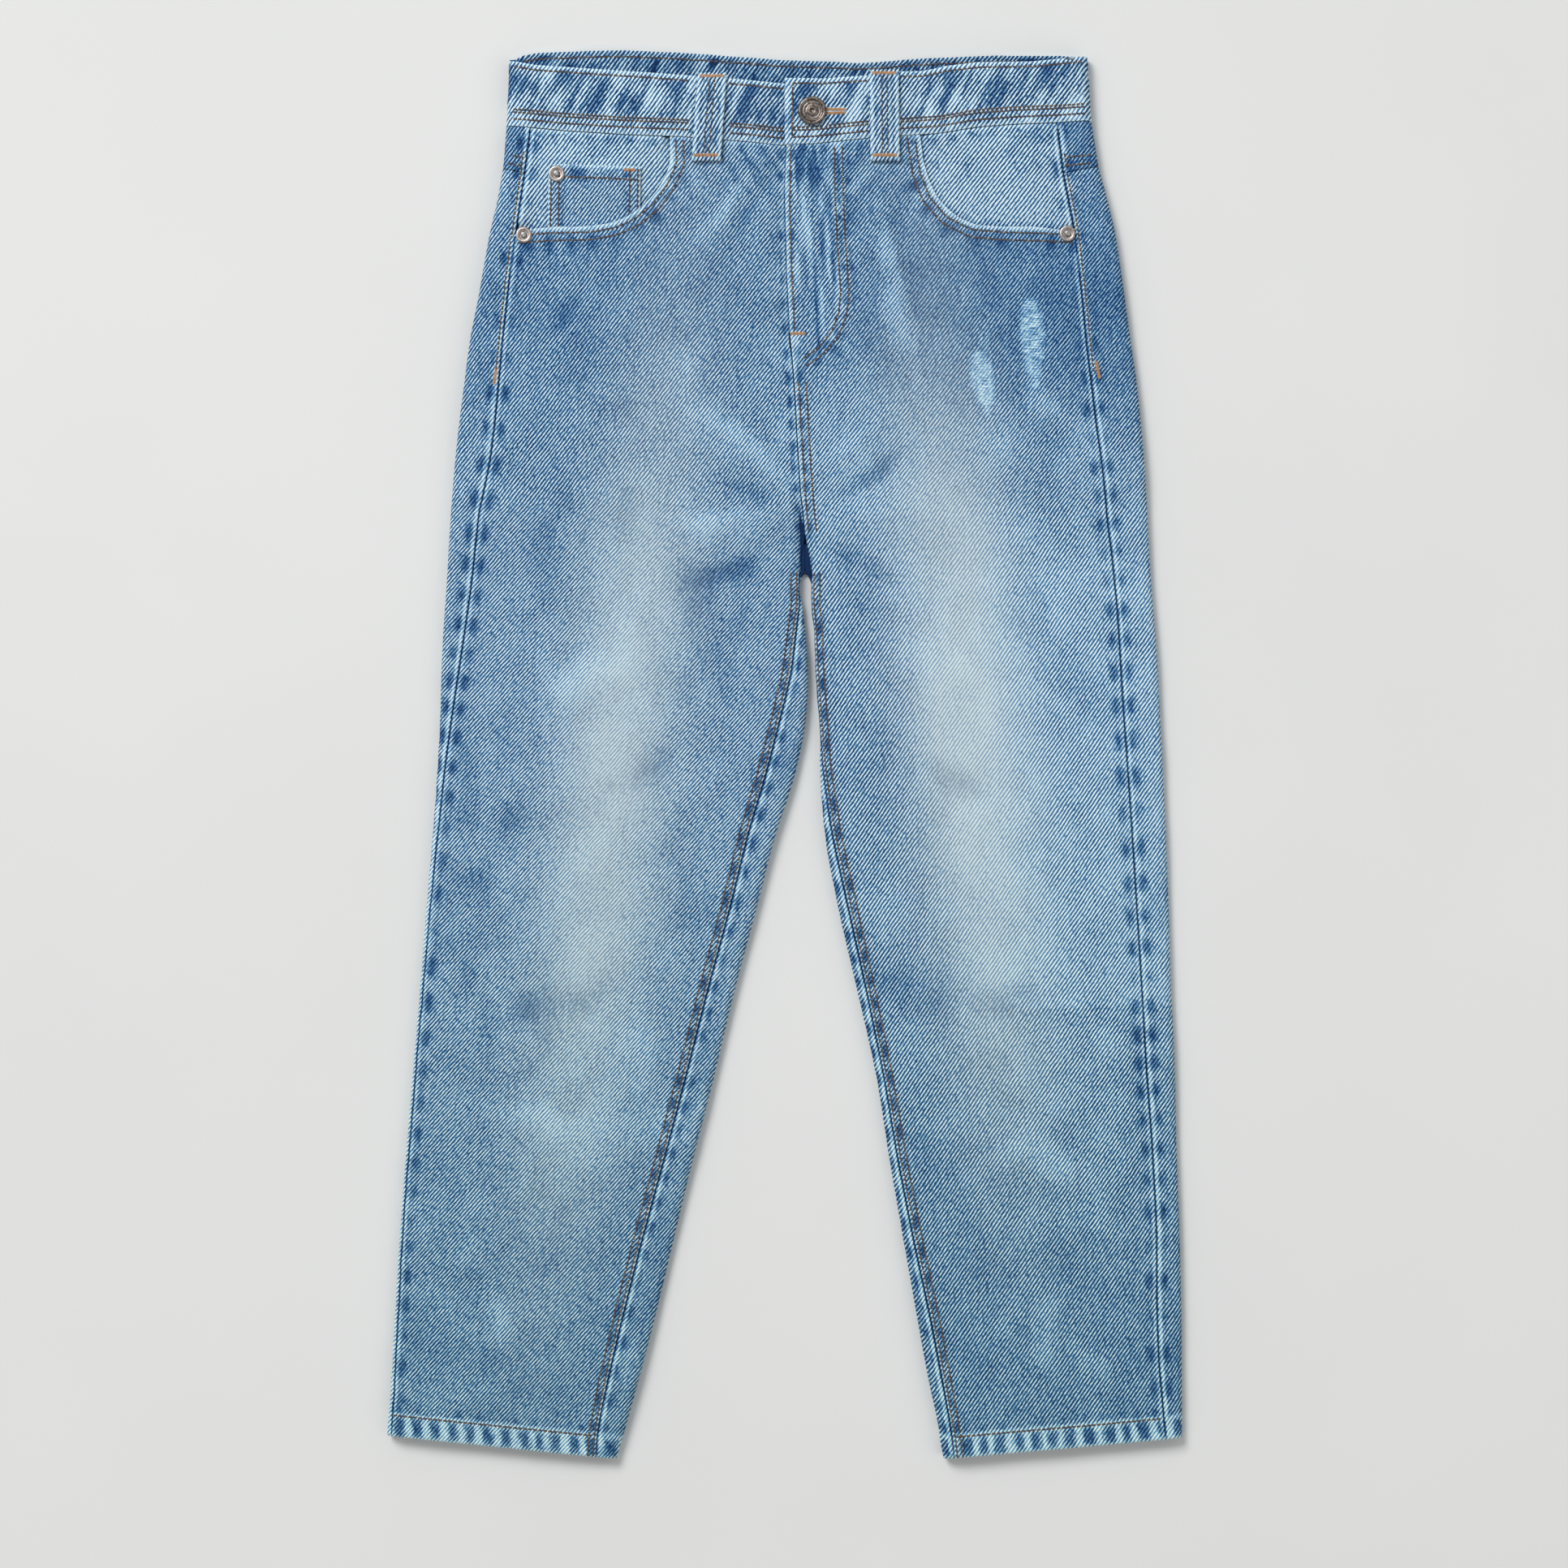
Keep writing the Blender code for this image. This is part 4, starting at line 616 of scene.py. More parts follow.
    # Painted shade: the fork between the legs, where the back lies deep in shadow, is painted the darkest navy.
    if kind in ("front", "back"):
        signed, along = to_line(x, y, [(7.6, 152.0), (9.6, 138.0), (12.9, 109.0)])
        indigo_and_shade = np.maximum(indigo_and_shade, 1.0 * np.clip(0.8 + along * 0.09 - np.abs(signed), 0, 1) * (y > 103.0) * (y < 152.0) * top)
    middle_x, slope = (-98.0, 0.13) if side < 0 else (108.0, -0.095)
    lean = x - middle_x + slope * (20.0 - y)
    if kind in ("front", "back", "yoke"):
        unfaded = (0.34 + 0.1 * side) * np.exp(-(((y - 275.0) / 80.0) ** 2)) + 0.24 * np.clip((-150.0 - y) / 200.0, 0.0, 1.0)
        unfaded = unfaded * (0.35 + 0.65 * np.clip((np.abs(x - 15.0) - 18.0) / 30.0, 0.0, 1.0))
        unfaded = unfaded + (0.25 if kind == "yoke" else 0.0)
        indigo_and_shade = np.maximum(indigo_and_shade, unfaded * (1.0 - white))
    if side > 0:
        white = np.maximum(white, 0.2 * bump((y - 165.0) / 90.0) * bump(np.maximum(x - 60.0, 0.0) / 40.0))
        white = np.maximum(white, 0.24 * bump(np.maximum(140.0 - x, 0.0) / 60.0) * np.clip((170.0 - y) / 60.0, 0.0, 1.0) * (y > -150.0))
    strength, middle_y, reach = (1.0, -12.0, 212.0) if side < 0 else (1.25, 30.0, 190.0)
    faded = strength * np.exp(-((lean / 31.0) ** 2) - ((y - middle_y) / reach) ** 2) * (0.9 + 0.2 * rough(x, y, 30.0, 12))
    masks = np.stack([faded, indigo_and_shade, white, frayed], 1)
    return relief, np.clip(masks, 0.0, 1.0)


# Right-hand twill, indigo warp over white weft. Its ribs are 0.9 mm apart on the real cloth, too fine for the
# picture, and are drawn 1.8 mm apart. They lean with each leg.
TWILL_PITCH = 1.8
GRAIN_LEAN = {-1: 0.13, 1: -0.095}
# The darkest stop, seam, is the navy of unfaded cloth and of painted shade in seam ditches, the crotch fork and inside
# the garment.
WASH = {
    "seam": "#14305A", "deep": "#2A5A90", "blue": "#3F74A6", "body": "#6C9DC2", "light": "#A3CADE", "white": "#DEF0F5",
    "bleached": "#CDD7D5",
}


def srgb(code):
    """Linear colour from an sRGB hex code."""
    parts = [int(code[index : index + 2], 16) / 255.0 for index in (1, 3, 5)]
    return (*[c / 12.92 if c <= 0.04045 else ((c + 0.055) / 1.055) ** 2.4 for c in parts], 1.0)


def add(tree, kind, values=None, **settings):
    """A node with its settings, and its inputs set or linked by name or place."""
    node = tree.nodes.new(kind)
    for name, value in settings.items():
        setattr(node, name, value)
    for name, value in (values or {}).items():
        if isinstance(value, bpy.types.NodeSocket):
            tree.links.new(value, node.inputs[name])
        else:
            node.inputs[name].default_value = value
    return node


def sum_of(tree, operation, *values, clamp=False):
    return add(tree, "ShaderNodeMath", dict(enumerate(values)), operation=operation, use_clamp=clamp).outputs[0]


def washed_denim(name, tone=0.0, steep=1.28, contrast=1.0, pitch=TWILL_PITCH):
    """Stone-washed denim. Tone above nought is darker, and steep is the twill's slope."""
    look = bpy.data.materials.new(name)
    look.use_nodes = True
    tree = look.node_tree
    shader = tree.nodes["Principled BSDF"]
    cloth_map = add(tree, "ShaderNodeUVMap", uv_map="grain").outputs[0]
    grain = add(tree, "ShaderNodeMapping", {"Vector": cloth_map, "Scale": (1000.0, 1000.0, 1.0)}).outputs[0]
    split = add(tree, "ShaderNodeSeparateXYZ", {"Vector": grain})
    across, along = split.outputs[0], split.outputs[1]
    painted = add(tree, "ShaderNodeAttribute", attribute_name="wash_and_shade")
    masks = add(tree, "ShaderNodeSeparateColor", {"Color": painted.outputs["Color"]})
    faded, indigo_and_shade, white = masks.outputs[0], masks.outputs[1], masks.outputs[2]
    frayed = painted.outputs["Alpha"]

    def cloud(scale, stretch=(1.0, 1.0, 1.0), detail=3.0, roughness=0.55):
        moved = add(tree, "ShaderNodeMapping", {"Vector": grain, "Scale": stretch}).outputs[0]
        values = {"Vector": moved, "Scale": scale, "Detail": detail, "Roughness": roughness}
        return add(tree, "ShaderNodeTexNoise", values).outputs[0]

    # Warp threads are uneven along the leg, the wash mottles them, and each rib is broken into flecks.
    slub = cloud(0.7, (1.0, 0.06, 1.0), 3.0, 0.6)
    mottle = cloud(0.035, detail=5.0, roughness=0.62)
    streak = cloud(0.3, (1.0, 0.25, 1.0), 3.0)
    ribwise = add(tree, "ShaderNodeMapping", {"Vector": grain, "Rotation": (0.0, 0.0, -math.atan(steep))}).outputs[0]
    flecked = add(tree, "ShaderNodeMapping", {"Vector": ribwise, "Scale": (0.42, 1.5, 1.0)}).outputs[0]
    fleck = add(tree, "ShaderNodeTexNoise", {"Vector": flecked, "Scale": 1.0, "Detail": 2.0, "Roughness": 0.6}).outputs[0]
    fuzz = cloud(1.3, detail=2.0, roughness=0.7)
    drift = sum_of(tree, "MULTIPLY", sum_of(tree, "SUBTRACT", cloud(0.06, detail=2.0), 0.5), 4.0)
    slant = sum_of(tree, "SUBTRACT", sum_of(tree, "MULTIPLY", across, steep), along)
    turns = 2.0 * math.pi / (pitch * math.hypot(1.0, steep))
    phase = sum_of(tree, "ADD", sum_of(tree, "MULTIPLY", slant, turns), drift)
    wave = sum_of(tree, "MULTIPLY_ADD", sum_of(tree, "SINE", phase), 0.5, 0.5)
    broken = sum_of(tree, "MULTIPLY", wave, sum_of(tree, "MULTIPLY_ADD", fleck, 3.2, -0.75, clamp=True))
    rib = sum_of(tree, "MULTIPLY", broken, sum_of(tree, "SUBTRACT", 1.0, sum_of(tree, "MULTIPLY", frayed, 0.6)))
    laid_bare = cloud(0.55, (0.3, 2.2, 1.0), 2.0, 0.6)
    depth = sum_of(tree, "MULTIPLY_ADD", sum_of(tree, "SUBTRACT", slub, 0.5), 0.3, 0.65 + tone)
    depth = sum_of(tree, "MULTIPLY_ADD", sum_of(tree, "SUBTRACT", mottle, 0.5), 0.4, depth)
    depth = sum_of(tree, "MULTIPLY_ADD", sum_of(tree, "SUBTRACT", streak, 0.5), 0.15, depth)
    depth = sum_of(tree, "MULTIPLY_ADD", sum_of(tree, "SUBTRACT", fuzz, 0.5), 0.6, depth)
    ribbed = sum_of(tree, "MULTIPLY_ADD", indigo_and_shade, -0.65 * contrast, 1.3 * contrast)
    depth = sum_of(tree, "MULTIPLY_ADD", sum_of(tree, "SUBTRACT", 0.33, rib), ribbed, depth)
    depth = sum_of(tree, "MULTIPLY_ADD", faded, -0.2, depth)
    spotted = sum_of(tree, "MULTIPLY", indigo_and_shade, sum_of(tree, "MULTIPLY_ADD", streak, 0.7, 0.6))
    depth = sum_of(tree, "MULTIPLY_ADD", spotted, 0.45, depth)
    depth = sum_of(tree, "MULTIPLY_ADD", white, -0.58, depth)
    # Indigo past 0.85 goes on to the darkest navy: unfaded cloth, and painted shade in seam ditches, the crotch fork
    # and inside the garment.
    hidden_and_shaded = sum_of(tree, "MULTIPLY_ADD", indigo_and_shade, 4.0, -3.4, clamp=True)
    depth = sum_of(tree, "ADD", depth, hidden_and_shaded)
    pale = sum_of(tree, "MULTIPLY", frayed, sum_of(tree, "MULTIPLY_ADD", laid_bare, 2.2, -0.4))
    depth = sum_of(tree, "SUBTRACT", depth, pale, clamp=True)
    ramp = add(tree, "ShaderNodeValToRGB", {"Fac": depth})
    stops = ramp.color_ramp.elements
    stops[0].position, stops[0].color = 0.0, srgb(WASH["white"])
    stops[1].position, stops[1].color = 1.0, srgb(WASH["seam"])
    for place, colour in ((0.25, "light"), (0.5, "body"), (0.72, "blue"), (0.86, "deep")):
        stops.new(place).color = srgb(WASH[colour])
    bleached = add(tree, "ShaderNodeMix", {0: sum_of(tree, "MULTIPLY", faded, 0.42)}, data_type="RGBA")
    tree.links.new(ramp.outputs[0], bleached.inputs[6])
    bleached.inputs[7].default_value = srgb(WASH["bleached"])
    lower = sum_of(tree, "MULTIPLY_ADD", along, -1.0 / 400.0, 0.05, clamp=True)
    tinted = add(tree, "ShaderNodeMix", {0: lower, 6: bleached.outputs[2]}, data_type="RGBA", blend_type="MULTIPLY")
    tinted.inputs[7].default_value = (0.96, 1.0, 0.92, 1.0)
    tree.links.new(tinted.outputs[2], shader.inputs["Base Color"])
    shader.inputs["Roughness"].default_value = 0.92
    shader.inputs["Specular IOR Level"].default_value = 0.12
    shader.inputs["Sheen Weight"].default_value = 0.03
    shader.inputs["Sheen Roughness"].default_value = 0.6
    weave = sum_of(tree, "MULTIPLY_ADD", fuzz, 0.35, sum_of(tree, "MULTIPLY_ADD", slub, 0.5, rib))
    raised = add(tree, "ShaderNodeBump", {"Height": weave, "Strength": 0.3, "Distance": 0.0004})
    tree.links.new(raised.outputs[0], shader.inputs["Normal"])
    return look


DENIM = washed_denim("stone_washed_denim")


def grid_faces(rows, columns):
    index = np.arange(rows * columns).reshape(rows, columns)
    return np.stack([index[:-1, :-1], index[:-1, 1:], index[1:, 1:], index[1:, :-1]], 2).reshape(-1, 4)


def normals_of(points, faces):
    """Outward direction at each point, from the faces round it."""
    corners = points[faces]
    flat = np.cross(corners[:, 2] - corners[:, 0], corners[:, 3] - corners[:, 1])
    total = np.zeros_like(points)
    for corner in range(4):
        np.add.at(total, faces[:, corner], flat)
    return total / np.maximum(np.linalg.norm(total, axis=1, keepdims=True), 1e-12)


def mesh_of(name, points, faces, look, flat_faces=0):
    """A mesh object from points in mm. Its last faces, this many, are shaded flat."""
    mesh = bpy.data.meshes.new(name)
    mesh.from_pydata(((np.asarray(points) - MIDDLE) * MM).tolist(), [], faces)
    smooth = np.ones(len(mesh.polygons), bool)
    smooth[len(smooth) - flat_faces :] = flat_faces == 0
    mesh.polygons.foreach_set("use_smooth", smooth)
    mesh.materials.append(look)
    piece = bpy.data.objects.new(name, mesh)
    bpy.context.scene.collection.objects.link(piece)
    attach(piece, "root")
    return piece


def cloth(name, node, side, kind, patches, look, wall=CLOTH):
    """A sewn piece from grids of its outer skin: relief, a wall inwards, a rim, its cloth map and its wash, with
    painted shade on its inner face.
    """
    points = np.concatenate([grid.reshape(-1, 3) for grid in patches])
    starts = np.cumsum([0] + [grid.shape[0] * grid.shape[1] for grid in patches])
    faces = np.concatenate([grid_faces(*grid.shape[:2]) + start for grid, start in zip(patches, starts)])
    _, first, same = np.unique(np.round(points, 3), axis=0, return_index=True, return_inverse=True)
    points, faces = points[first], same.reshape(-1)[faces]
    normal = normals_of(points, faces)
    if (normal[:, 2] * (points[:, 2] - 6.0)).sum() < 0:
        faces, normal = faces[:, ::-1], -normal
    relief, masks = wear_and_shade(side, kind, points, normal)
    outer = points + normal * relief[:, None]
    outer[:, 2] = np.maximum(outer[:, 2], 0.02)
    inner = outer - normal * wall
    number = len(points)
    begin, end = faces.ravel(), np.roll(faces, -1, axis=1).ravel()
    free = ~np.isin(begin.astype(np.int64) * number + end, end.astype(np.int64) * number + begin)
    begin, end = begin[free], end[free]
    rim = np.stack([end, begin, begin + number, end + number], 1)
    closed = np.concatenate([faces, faces[:, ::-1] + number, rim])
    piece = mesh_of(name, np.concatenate([outer, inner]), closed.tolist(), look, len(rim))
    below = np.clip(150.0 - points[:, 1], 0.0, None) * (GRAIN_LEAN[side] if kind in ("front", "back") else 0.0)
    grain = np.stack([points[:, 0] + below, points[:, 1]], 1)
    corners = np.empty(len(piece.data.loops), np.int32)
    piece.data.loops.foreach_get("vertex_index", corners)
    layer = piece.data.uv_layers.new(name="grain")
    layer.data.foreach_set("uv", (grain[corners % number] * MM).astype(np.float32).ravel())
    # The inner face of every piece is drawn darker and less worn: painted shade inside the garment, seen through the
    # waist opening.
    inside = masks * (0.3, 0.8, 0.6, 0.0) + (0.0, 0.5, 0.0, 0.0)
    wash_and_shade = np.clip(np.concatenate([masks, inside]), 0.0, 1.0).astype(np.float32)
    paint = piece.data.color_attributes.new(name="wash_and_shade", type="FLOAT_COLOR", domain="POINT")
    paint.data.foreach_set("color", wash_and_shade.ravel())
    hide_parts(node)
    long = max(np.linalg.norm(np.diff(grid, axis=0), axis=2).sum(0).max() for grid in patches) * MM
    across = sum(np.linalg.norm(np.diff(grid, axis=1), axis=2).sum(1).max() for grid in patches) * MM
    corners = outer[faces]
    area = 0.5 * np.linalg.norm(np.cross(corners[:, 2] - corners[:, 0], corners[:, 3] - corners[:, 1]), axis=1).sum()
    area = float(min(area * MM * MM, across * long))
    print("cut", name, round(across, 4), round(long, 4), round(area, 4), len(piece.data.polygons) * 2)
    return piece


fronts, backs, yokes, bands, facings, pockets, loops = {}, {}, {}, {}, {}, {}, {}
for wearer, word in SIDES.items():
    skin = [front_grid(wearer)]
    fronts[wearer] = cloth(f"denim_front_{word}", f"front_{word}", wearer, "front", skin, DENIM)

# Back panels.
# Two pieces of the same denim on the underside. Each wraps round the outer fold up to the outseam and round
# the inner fold up to the inseam, and the two close over the saddle in the crotch fork.
# y and z on the centre back seam, y on the inseam, from the underside round to the crotch point.
FORK = [
    (110.4, 0.6, 104.3), (109.0, 2.4, 107.0), (110.4, 4.2, 109.6), (113.3, 4.8, 112.6), (117.8, 4.9, 117.4),
    (122.6, 5.0, 122.4), (126.6, 5.1, 126.6),
]
WRAP, FLAT, STRIP = 24, 44, 18


def wrap_places(start, radius):
    """Places round the outer fold: a few from the seam to the bend, then evenly round it."""
    bend = 0.5 * math.pi * radius
    turn = min(bend, 0.7 * start)
    half = WRAP // 2
    return np.concatenate([np.linspace(start, turn, half + 1)[:-1], np.linspace(turn, -bend, WRAP - half)])


def back_line(side, y_out, y_centre, x_centre, waist=False, columns=FLAT):
    """Underside of the hips at one line, from the outseam round the outer fold to centre back."""
    edge, radius = float(outer_x(side, y_out)), float(between(HEIGHTS, y_out, 1))
    places = wrap_places(seam_place(abs(edge - float(outseam_x(side, y_out))), radius) - 0.5 * SEAM, radius)
    inset, height, up = fold_point(places, radius)
    x = edge - side * inset
    y = np.where(places > 0, y_out + top_slope(side, y_out) * inset, y_out)
    if waist:
        y = np.where(places > 0, waist_y(x), y)
    z = height + dome(side, x, y) * np.maximum(up, 0.0) * np.minimum(inset / radius, 1.0)
    z = z + np.where(places < -0.4 * math.pi * radius, lift(x, y), 0.0)
    flat_x = np.linspace(x[-1], x_centre, columns + 1)[1:]
    flat_y = y_out + (y_centre - y_out) * (flat_x - x[-1]) / (x_centre - x[-1])
    return np.concatenate([np.stack([x, y, z], 1), np.stack([flat_x, flat_y, lift(flat_x, flat_y)], 1)])


def leg_line(side, row):
    """Underside of a leg at one section, from the outseam round the outer fold to the inner fold."""
    radius = float(between(HEIGHTS, row[0], 1))
    inset, height, up = fold_point(wrap_places(seam_place(row[3], radius) - 0.5 * SEAM, radius), radius)
    x = row[2] - side * inset
    y = line_y(row, x)
    z = height + dome(side, x, y, row[4]) * np.maximum(up, 0.0) * np.minimum(inset / radius, 1.0)
    flat_x = np.linspace(x[-1], row[4] + side * radius, FLAT + 1)[1:]
    flat = np.stack([flat_x, line_y(row, flat_x), np.zeros(FLAT)], 1)
    return np.concatenate([np.stack([x, y, z], 1), flat])


def front_end(side, y):
    """A front's last point near the crotch, at any y."""
    ends = [front_section(side, number, 60)[-1] for number in range(CROTCH, SADDLE + 2)]
    return np.array([np.interp(-y, [-end[1] for end in ends], [end[axis] for end in ends]) for axis in range(3)])


def strip_lines(side):
    """Rows round the inner fold up to the inseam, topped by the crotch fork."""
    rows, steps = table_of(side), np.linspace(0.0, 1.0, STRIP)[:, None]
    centre = CENTRE_BACK + (170.0 - 113.0) * 0.12
    lines = []
    for y_back, z_back, y_edge in reversed(FORK):
        rise = min(max((y_back - 109.6) / 17.0, 0.0), 1.0)
        x_back = centre + (float(centre_x(134.0)) - centre) * rise + 0.5 * side * SEAM
        last = front_end(side, y_edge) - (0.0, 0.0, 0.35)
        x_back = x_back if abs(last[0] - x_back) > 0.2 and (last[0] - x_back) * side > 0 else last[0] - 0.25 * side
        first = np.array((x_back, y_back, z_back))
        lines.append(first + (last - first) * steps)
    first = np.array((centre + 0.5 * side * SEAM, 113.0, 0.0))
    lines.append(first + (front_end(side, 102.6) - (0.0, 0.0, 1.1 * SEAM) - first) * steps)
    for row in rows[SADDLE + 1 :]:
        radius = float(between(HEIGHTS, row[0], 1))
        inner = seam_place(row[5], radius) - 0.5 * SEAM if row[5] > 0 else -0.5 * SEAM
        inset, height, up = fold_point(np.linspace(-0.5 * math.pi * radius, inner, STRIP), radius)
        x = row[4] + side * inset
        y = line_y(row, x)
        z = height + dome(side, x, y, row[4]) * np.maximum(up, 0.0) * np.minimum(inset / radius, 1.0)
        lines.append(np.stack([x, y, z], 1))
    return lines


def back_grids(side, pitch=2.5):
    """Outer skin of a back: the main grid, the strip of the leg, and the fork."""
    rows = table_of(side)
    yoke_out, yoke_in = YOKE_SEAM[side]
    y_outs = [yoke_out - SEAM, 332.0] + [row[0] for row in rows[FIRST_FULL : SADDLE + 1]]
    centres = [yoke_in - SEAM, 300.0, 288.0, 268.0, 253.0, 236.0, 214.0, 192.0, 171.0, 156.0, 145.0, 134.0, 123.0, 113.0]
    lines = []
    for y_out, y_centre in zip(y_outs, centres):
        centre = (CENTRE_BACK if y_centre > 170.0 else CENTRE_BACK + (170.0 - y_centre) * 0.12) + 0.5 * side * SEAM
        lines.append(back_line(side, y_out, y_centre, centre))
    lines += [leg_line(side, row) for row in rows[SADDLE + 1 :]]
    strip = strip_lines(side)
    leg = len(strip) - len(FORK)
    main, knots, at = densify(lines, pitch)
    begin = knots[len(lines) - leg]
    inner, _, _ = densify(strip[len(FORK) :], pitch, knots[len(lines) - leg :], at[at >= begin - 1e-9])
    inner[:, 0] = main[-len(inner) :, -1]
    fork, _, _ = densify(strip[: len(FORK) + 1], 1.2)
    fork[-1] = inner[0]
    return [main, inner, fork]


for wearer, word in SIDES.items():
    skin = back_grids(wearer)
    backs[wearer] = cloth(f"denim_back_{word}", f"back_{word}", wearer, "back", skin, DENIM)

# Yokes.
# A wedge of denim between each back and the band, which gives the seat its shape. It is felled to the back
# with two rows of thread.
for wearer, word in SIDES.items():
    yoke_out, yoke_in = YOKE_SEAM[wearer]
    waist_out = table_of(wearer)[0][0]
    lines = []
    for share in (0.0, 0.25, 0.5, 0.75, 1.0):
        y_out = waist_out - SEAM + (yoke_out - waist_out + SEAM) * share
        y_in = 365.0 + (yoke_in - 365.0) * share
        lines.append(back_line(wearer, y_out, y_in, CENTRE_BACK + 0.5 * wearer * SEAM, share == 0.0, 80))
    skin = [densify(lines, 2.2)[0]]
    yokes[wearer] = cloth(f"denim_yoke_{word}", f"yoke_{word}", wearer, "yoke", skin, DENIM)

# Pocket facings and bags.
# Denim seen in the scoop of each front pocket, sewn to the waist and the outseam and running a little under
# the front. The plain cotton bag behind it is sewn shut and flat.
DENIM_INNER = washed_denim("washed_denim_pocket_facing", tone=-0.15, contrast=1.25, pitch=2.0)


def outside_scoop(side, x, y):
    """Distance from the pocket edge, positive towards the hip."""
    return to_line(x, y, SCOOPS[side])[0] * side


def facing_dip(side, x, y):
    """How far the pocket facing lies below the front's surface."""
    full = 3.1 if side < 0 else 1.6
    away = outside_scoop(side, x, y)
    sunk = 0.5 + (full - 0.5) * bump(np.maximum(away - 2.0, 0.0) / 26.0)
    edge = np.minimum(waist_y(x) - y, np.abs(x - outseam_x(side, y)))
    rise = bump(np.clip(edge, 0.0, 12.0) / 12.0) * np.clip((away - 1.5) / 4.0, 0.0, 1.0)
    return np.where(away <= 1.5, full, sunk + (0.4 - sunk) * rise)


def along_edge(edge, shares):
    """Points at these shares of a line's length."""
    steps = np.cumsum([0.0] + [math.dist(a, b) for a, b in zip(edge, edge[1:])])
    return np.stack([np.interp(shares * steps[-1], steps, [point[axis] for point in edge]) for axis in (0, 1)], -1)


def filled(top, bottom, left, right, rows, columns):
    """Points filling four edges, top and bottom running left to right."""
    u, v = np.linspace(0.0, 1.0, columns)[None, :, None], np.linspace(0.0, 1.0, rows)[:, None, None]
    edges = (1 - v) * along_edge(top, u[0, :, 0])[None] + v * along_edge(bottom, u[0, :, 0])[None]
    edges = edges + (1 - u) * along_edge(left, v[:, 0, 0])[:, None] + u * along_edge(right, v[:, 0, 0])[:, None]
    corners = (1 - u) * (1 - v) * np.array(top[0]) + u * (1 - v) * np.array(top[-1])
    return edges - corners - (1 - u) * v * np.array(bottom[0]) - u * v * np.array(bottom[-1])


def four_cornered(corners, rows, columns):
    """Grid of places over a patch with four corners."""
    a, b, c, d = (np.array(corner, float) for corner in corners)
    u, v = np.linspace(0.0, 1.0, columns)[None, :, None], np.linspace(0.0, 1.0, rows)[:, None, None]
    return (1 - v) * ((1 - u) * a + u * b) + v * ((1 - u) * d + u * c)


def at_height(flat, height):
    """A grid of places lifted to a height for each."""
    return np.concatenate([flat, np.broadcast_to(height, flat.shape[:2])[..., None]], 2)


for wearer, word in SIDES.items():
    scoop = SCOOPS[wearer]
    under = []
    for number, (x, y) in enumerate(scoop):
        ax, ay = scoop[max(number - 1, 0)]
        bx, by = scoop[min(number + 1, len(scoop) - 1)]
        reach = 14.0 * wearer / math.hypot(bx - ax, by - ay)
        under.append((x + (by - ay) * reach, y - (bx - ax) * reach))
    under[0] = (under[0][0], float(waist_y(under[0][0])))
    seam_ys = np.linspace(table_of(wearer)[0][0] - 1.5, 302.0, 12)
    outer = []
    for y in seam_ys:
        inset = abs(float(outer_x(wearer, y) - outseam_x(wearer, y)))
        outer.append((float(outseam_x(wearer, y)) - wearer * 0.5 * SEAM, y + float(top_slope(wearer, y)) * inset))
    outer[0] = (outer[0][0], float(waist_y(outer[0][0])))
    under[-1] = outer[-1]
    tops = [(x, float(waist_y(x))) for x in np.linspace(outer[0][0], under[0][0], 10)]
    flat = filled(tops, [outer[-1]] + under[4:-1][::-1], outer, under[:5], 44, 56)
    x, y = flat[..., 0], flat[..., 1]
    skin = [at_height(flat, top_z(wearer, x, y) - facing_dip(wearer, x, y))]
    name = f"denim_pocket_facing_{word}"
    facings[wearer] = cloth(name, f"pocket_facing_{word}", wearer, "facing", skin, DENIM_INNER)


def woven(name, codes, pitch, roughness=0.9):
    """Plain weave cloth of this thread pitch in mm, laid on the piece's object coordinates."""
    look = bpy.data.materials.new(name)
    look.use_nodes = True
    tree = look.node_tree
    shader = tree.nodes["Principled BSDF"]
    grain = add(tree, "ShaderNodeMapping", {"Vector": add(tree, "ShaderNodeTexCoord").outputs["Object"], "Scale": (1000.0,) * 3})
    split = add(tree, "ShaderNodeSeparateXYZ", {"Vector": grain.outputs[0]})
    waves = [sum_of(tree, "SINE", sum_of(tree, "MULTIPLY", split.outputs[axis], math.pi / pitch)) for axis in (0, 1)]
    check = sum_of(tree, "MULTIPLY_ADD", sum_of(tree, "MULTIPLY", *waves), 0.5, 0.5)
    patch = add(tree, "ShaderNodeTexNoise", {"Vector": grain.outputs[0], "Scale": 0.12, "Detail": 5.0}).outputs[0]
    ramp = add(tree, "ShaderNodeValToRGB", {"Fac": sum_of(tree, "MULTIPLY_ADD", check, 0.3, sum_of(tree, "MULTIPLY", patch, 0.8))})
    ramp.color_ramp.elements[0].color, ramp.color_ramp.elements[1].color = srgb(codes[0]), srgb(codes[1])
    tree.links.new(ramp.outputs[0], shader.inputs["Base Color"])
    shader.inputs["Roughness"].default_value = roughness
    raised = add(tree, "ShaderNodeBump", {"Height": check, "Strength": 0.4, "Distance": 0.0003})
    tree.links.new(raised.outputs[0], shader.inputs["Normal"])
    return look


COTTON = woven("plain_weave_pocketing", ("#B9B4A4", "#E2DECF"), 0.6)
for wearer, word in SIDES.items():
    near, far = (-88.0, -146.0) if wearer < 0 else (100.0, 158.0)
    flat = four_cornered(((far, 352.0), (near - wearer * 22.0, 352.0), (near - wearer * 22.0, 232.0), (far, 240.0)), 40, 28)
    skin = [at_height(flat, top_z(wearer, flat[..., 0], flat[..., 1]) - (4.8 if wearer < 0 else 3.3))]
    cloth(f"pocket_bag_cotton_{word}", f"pocket_bag_{word}", wearer, "bag", skin, COTTON, 0.9)

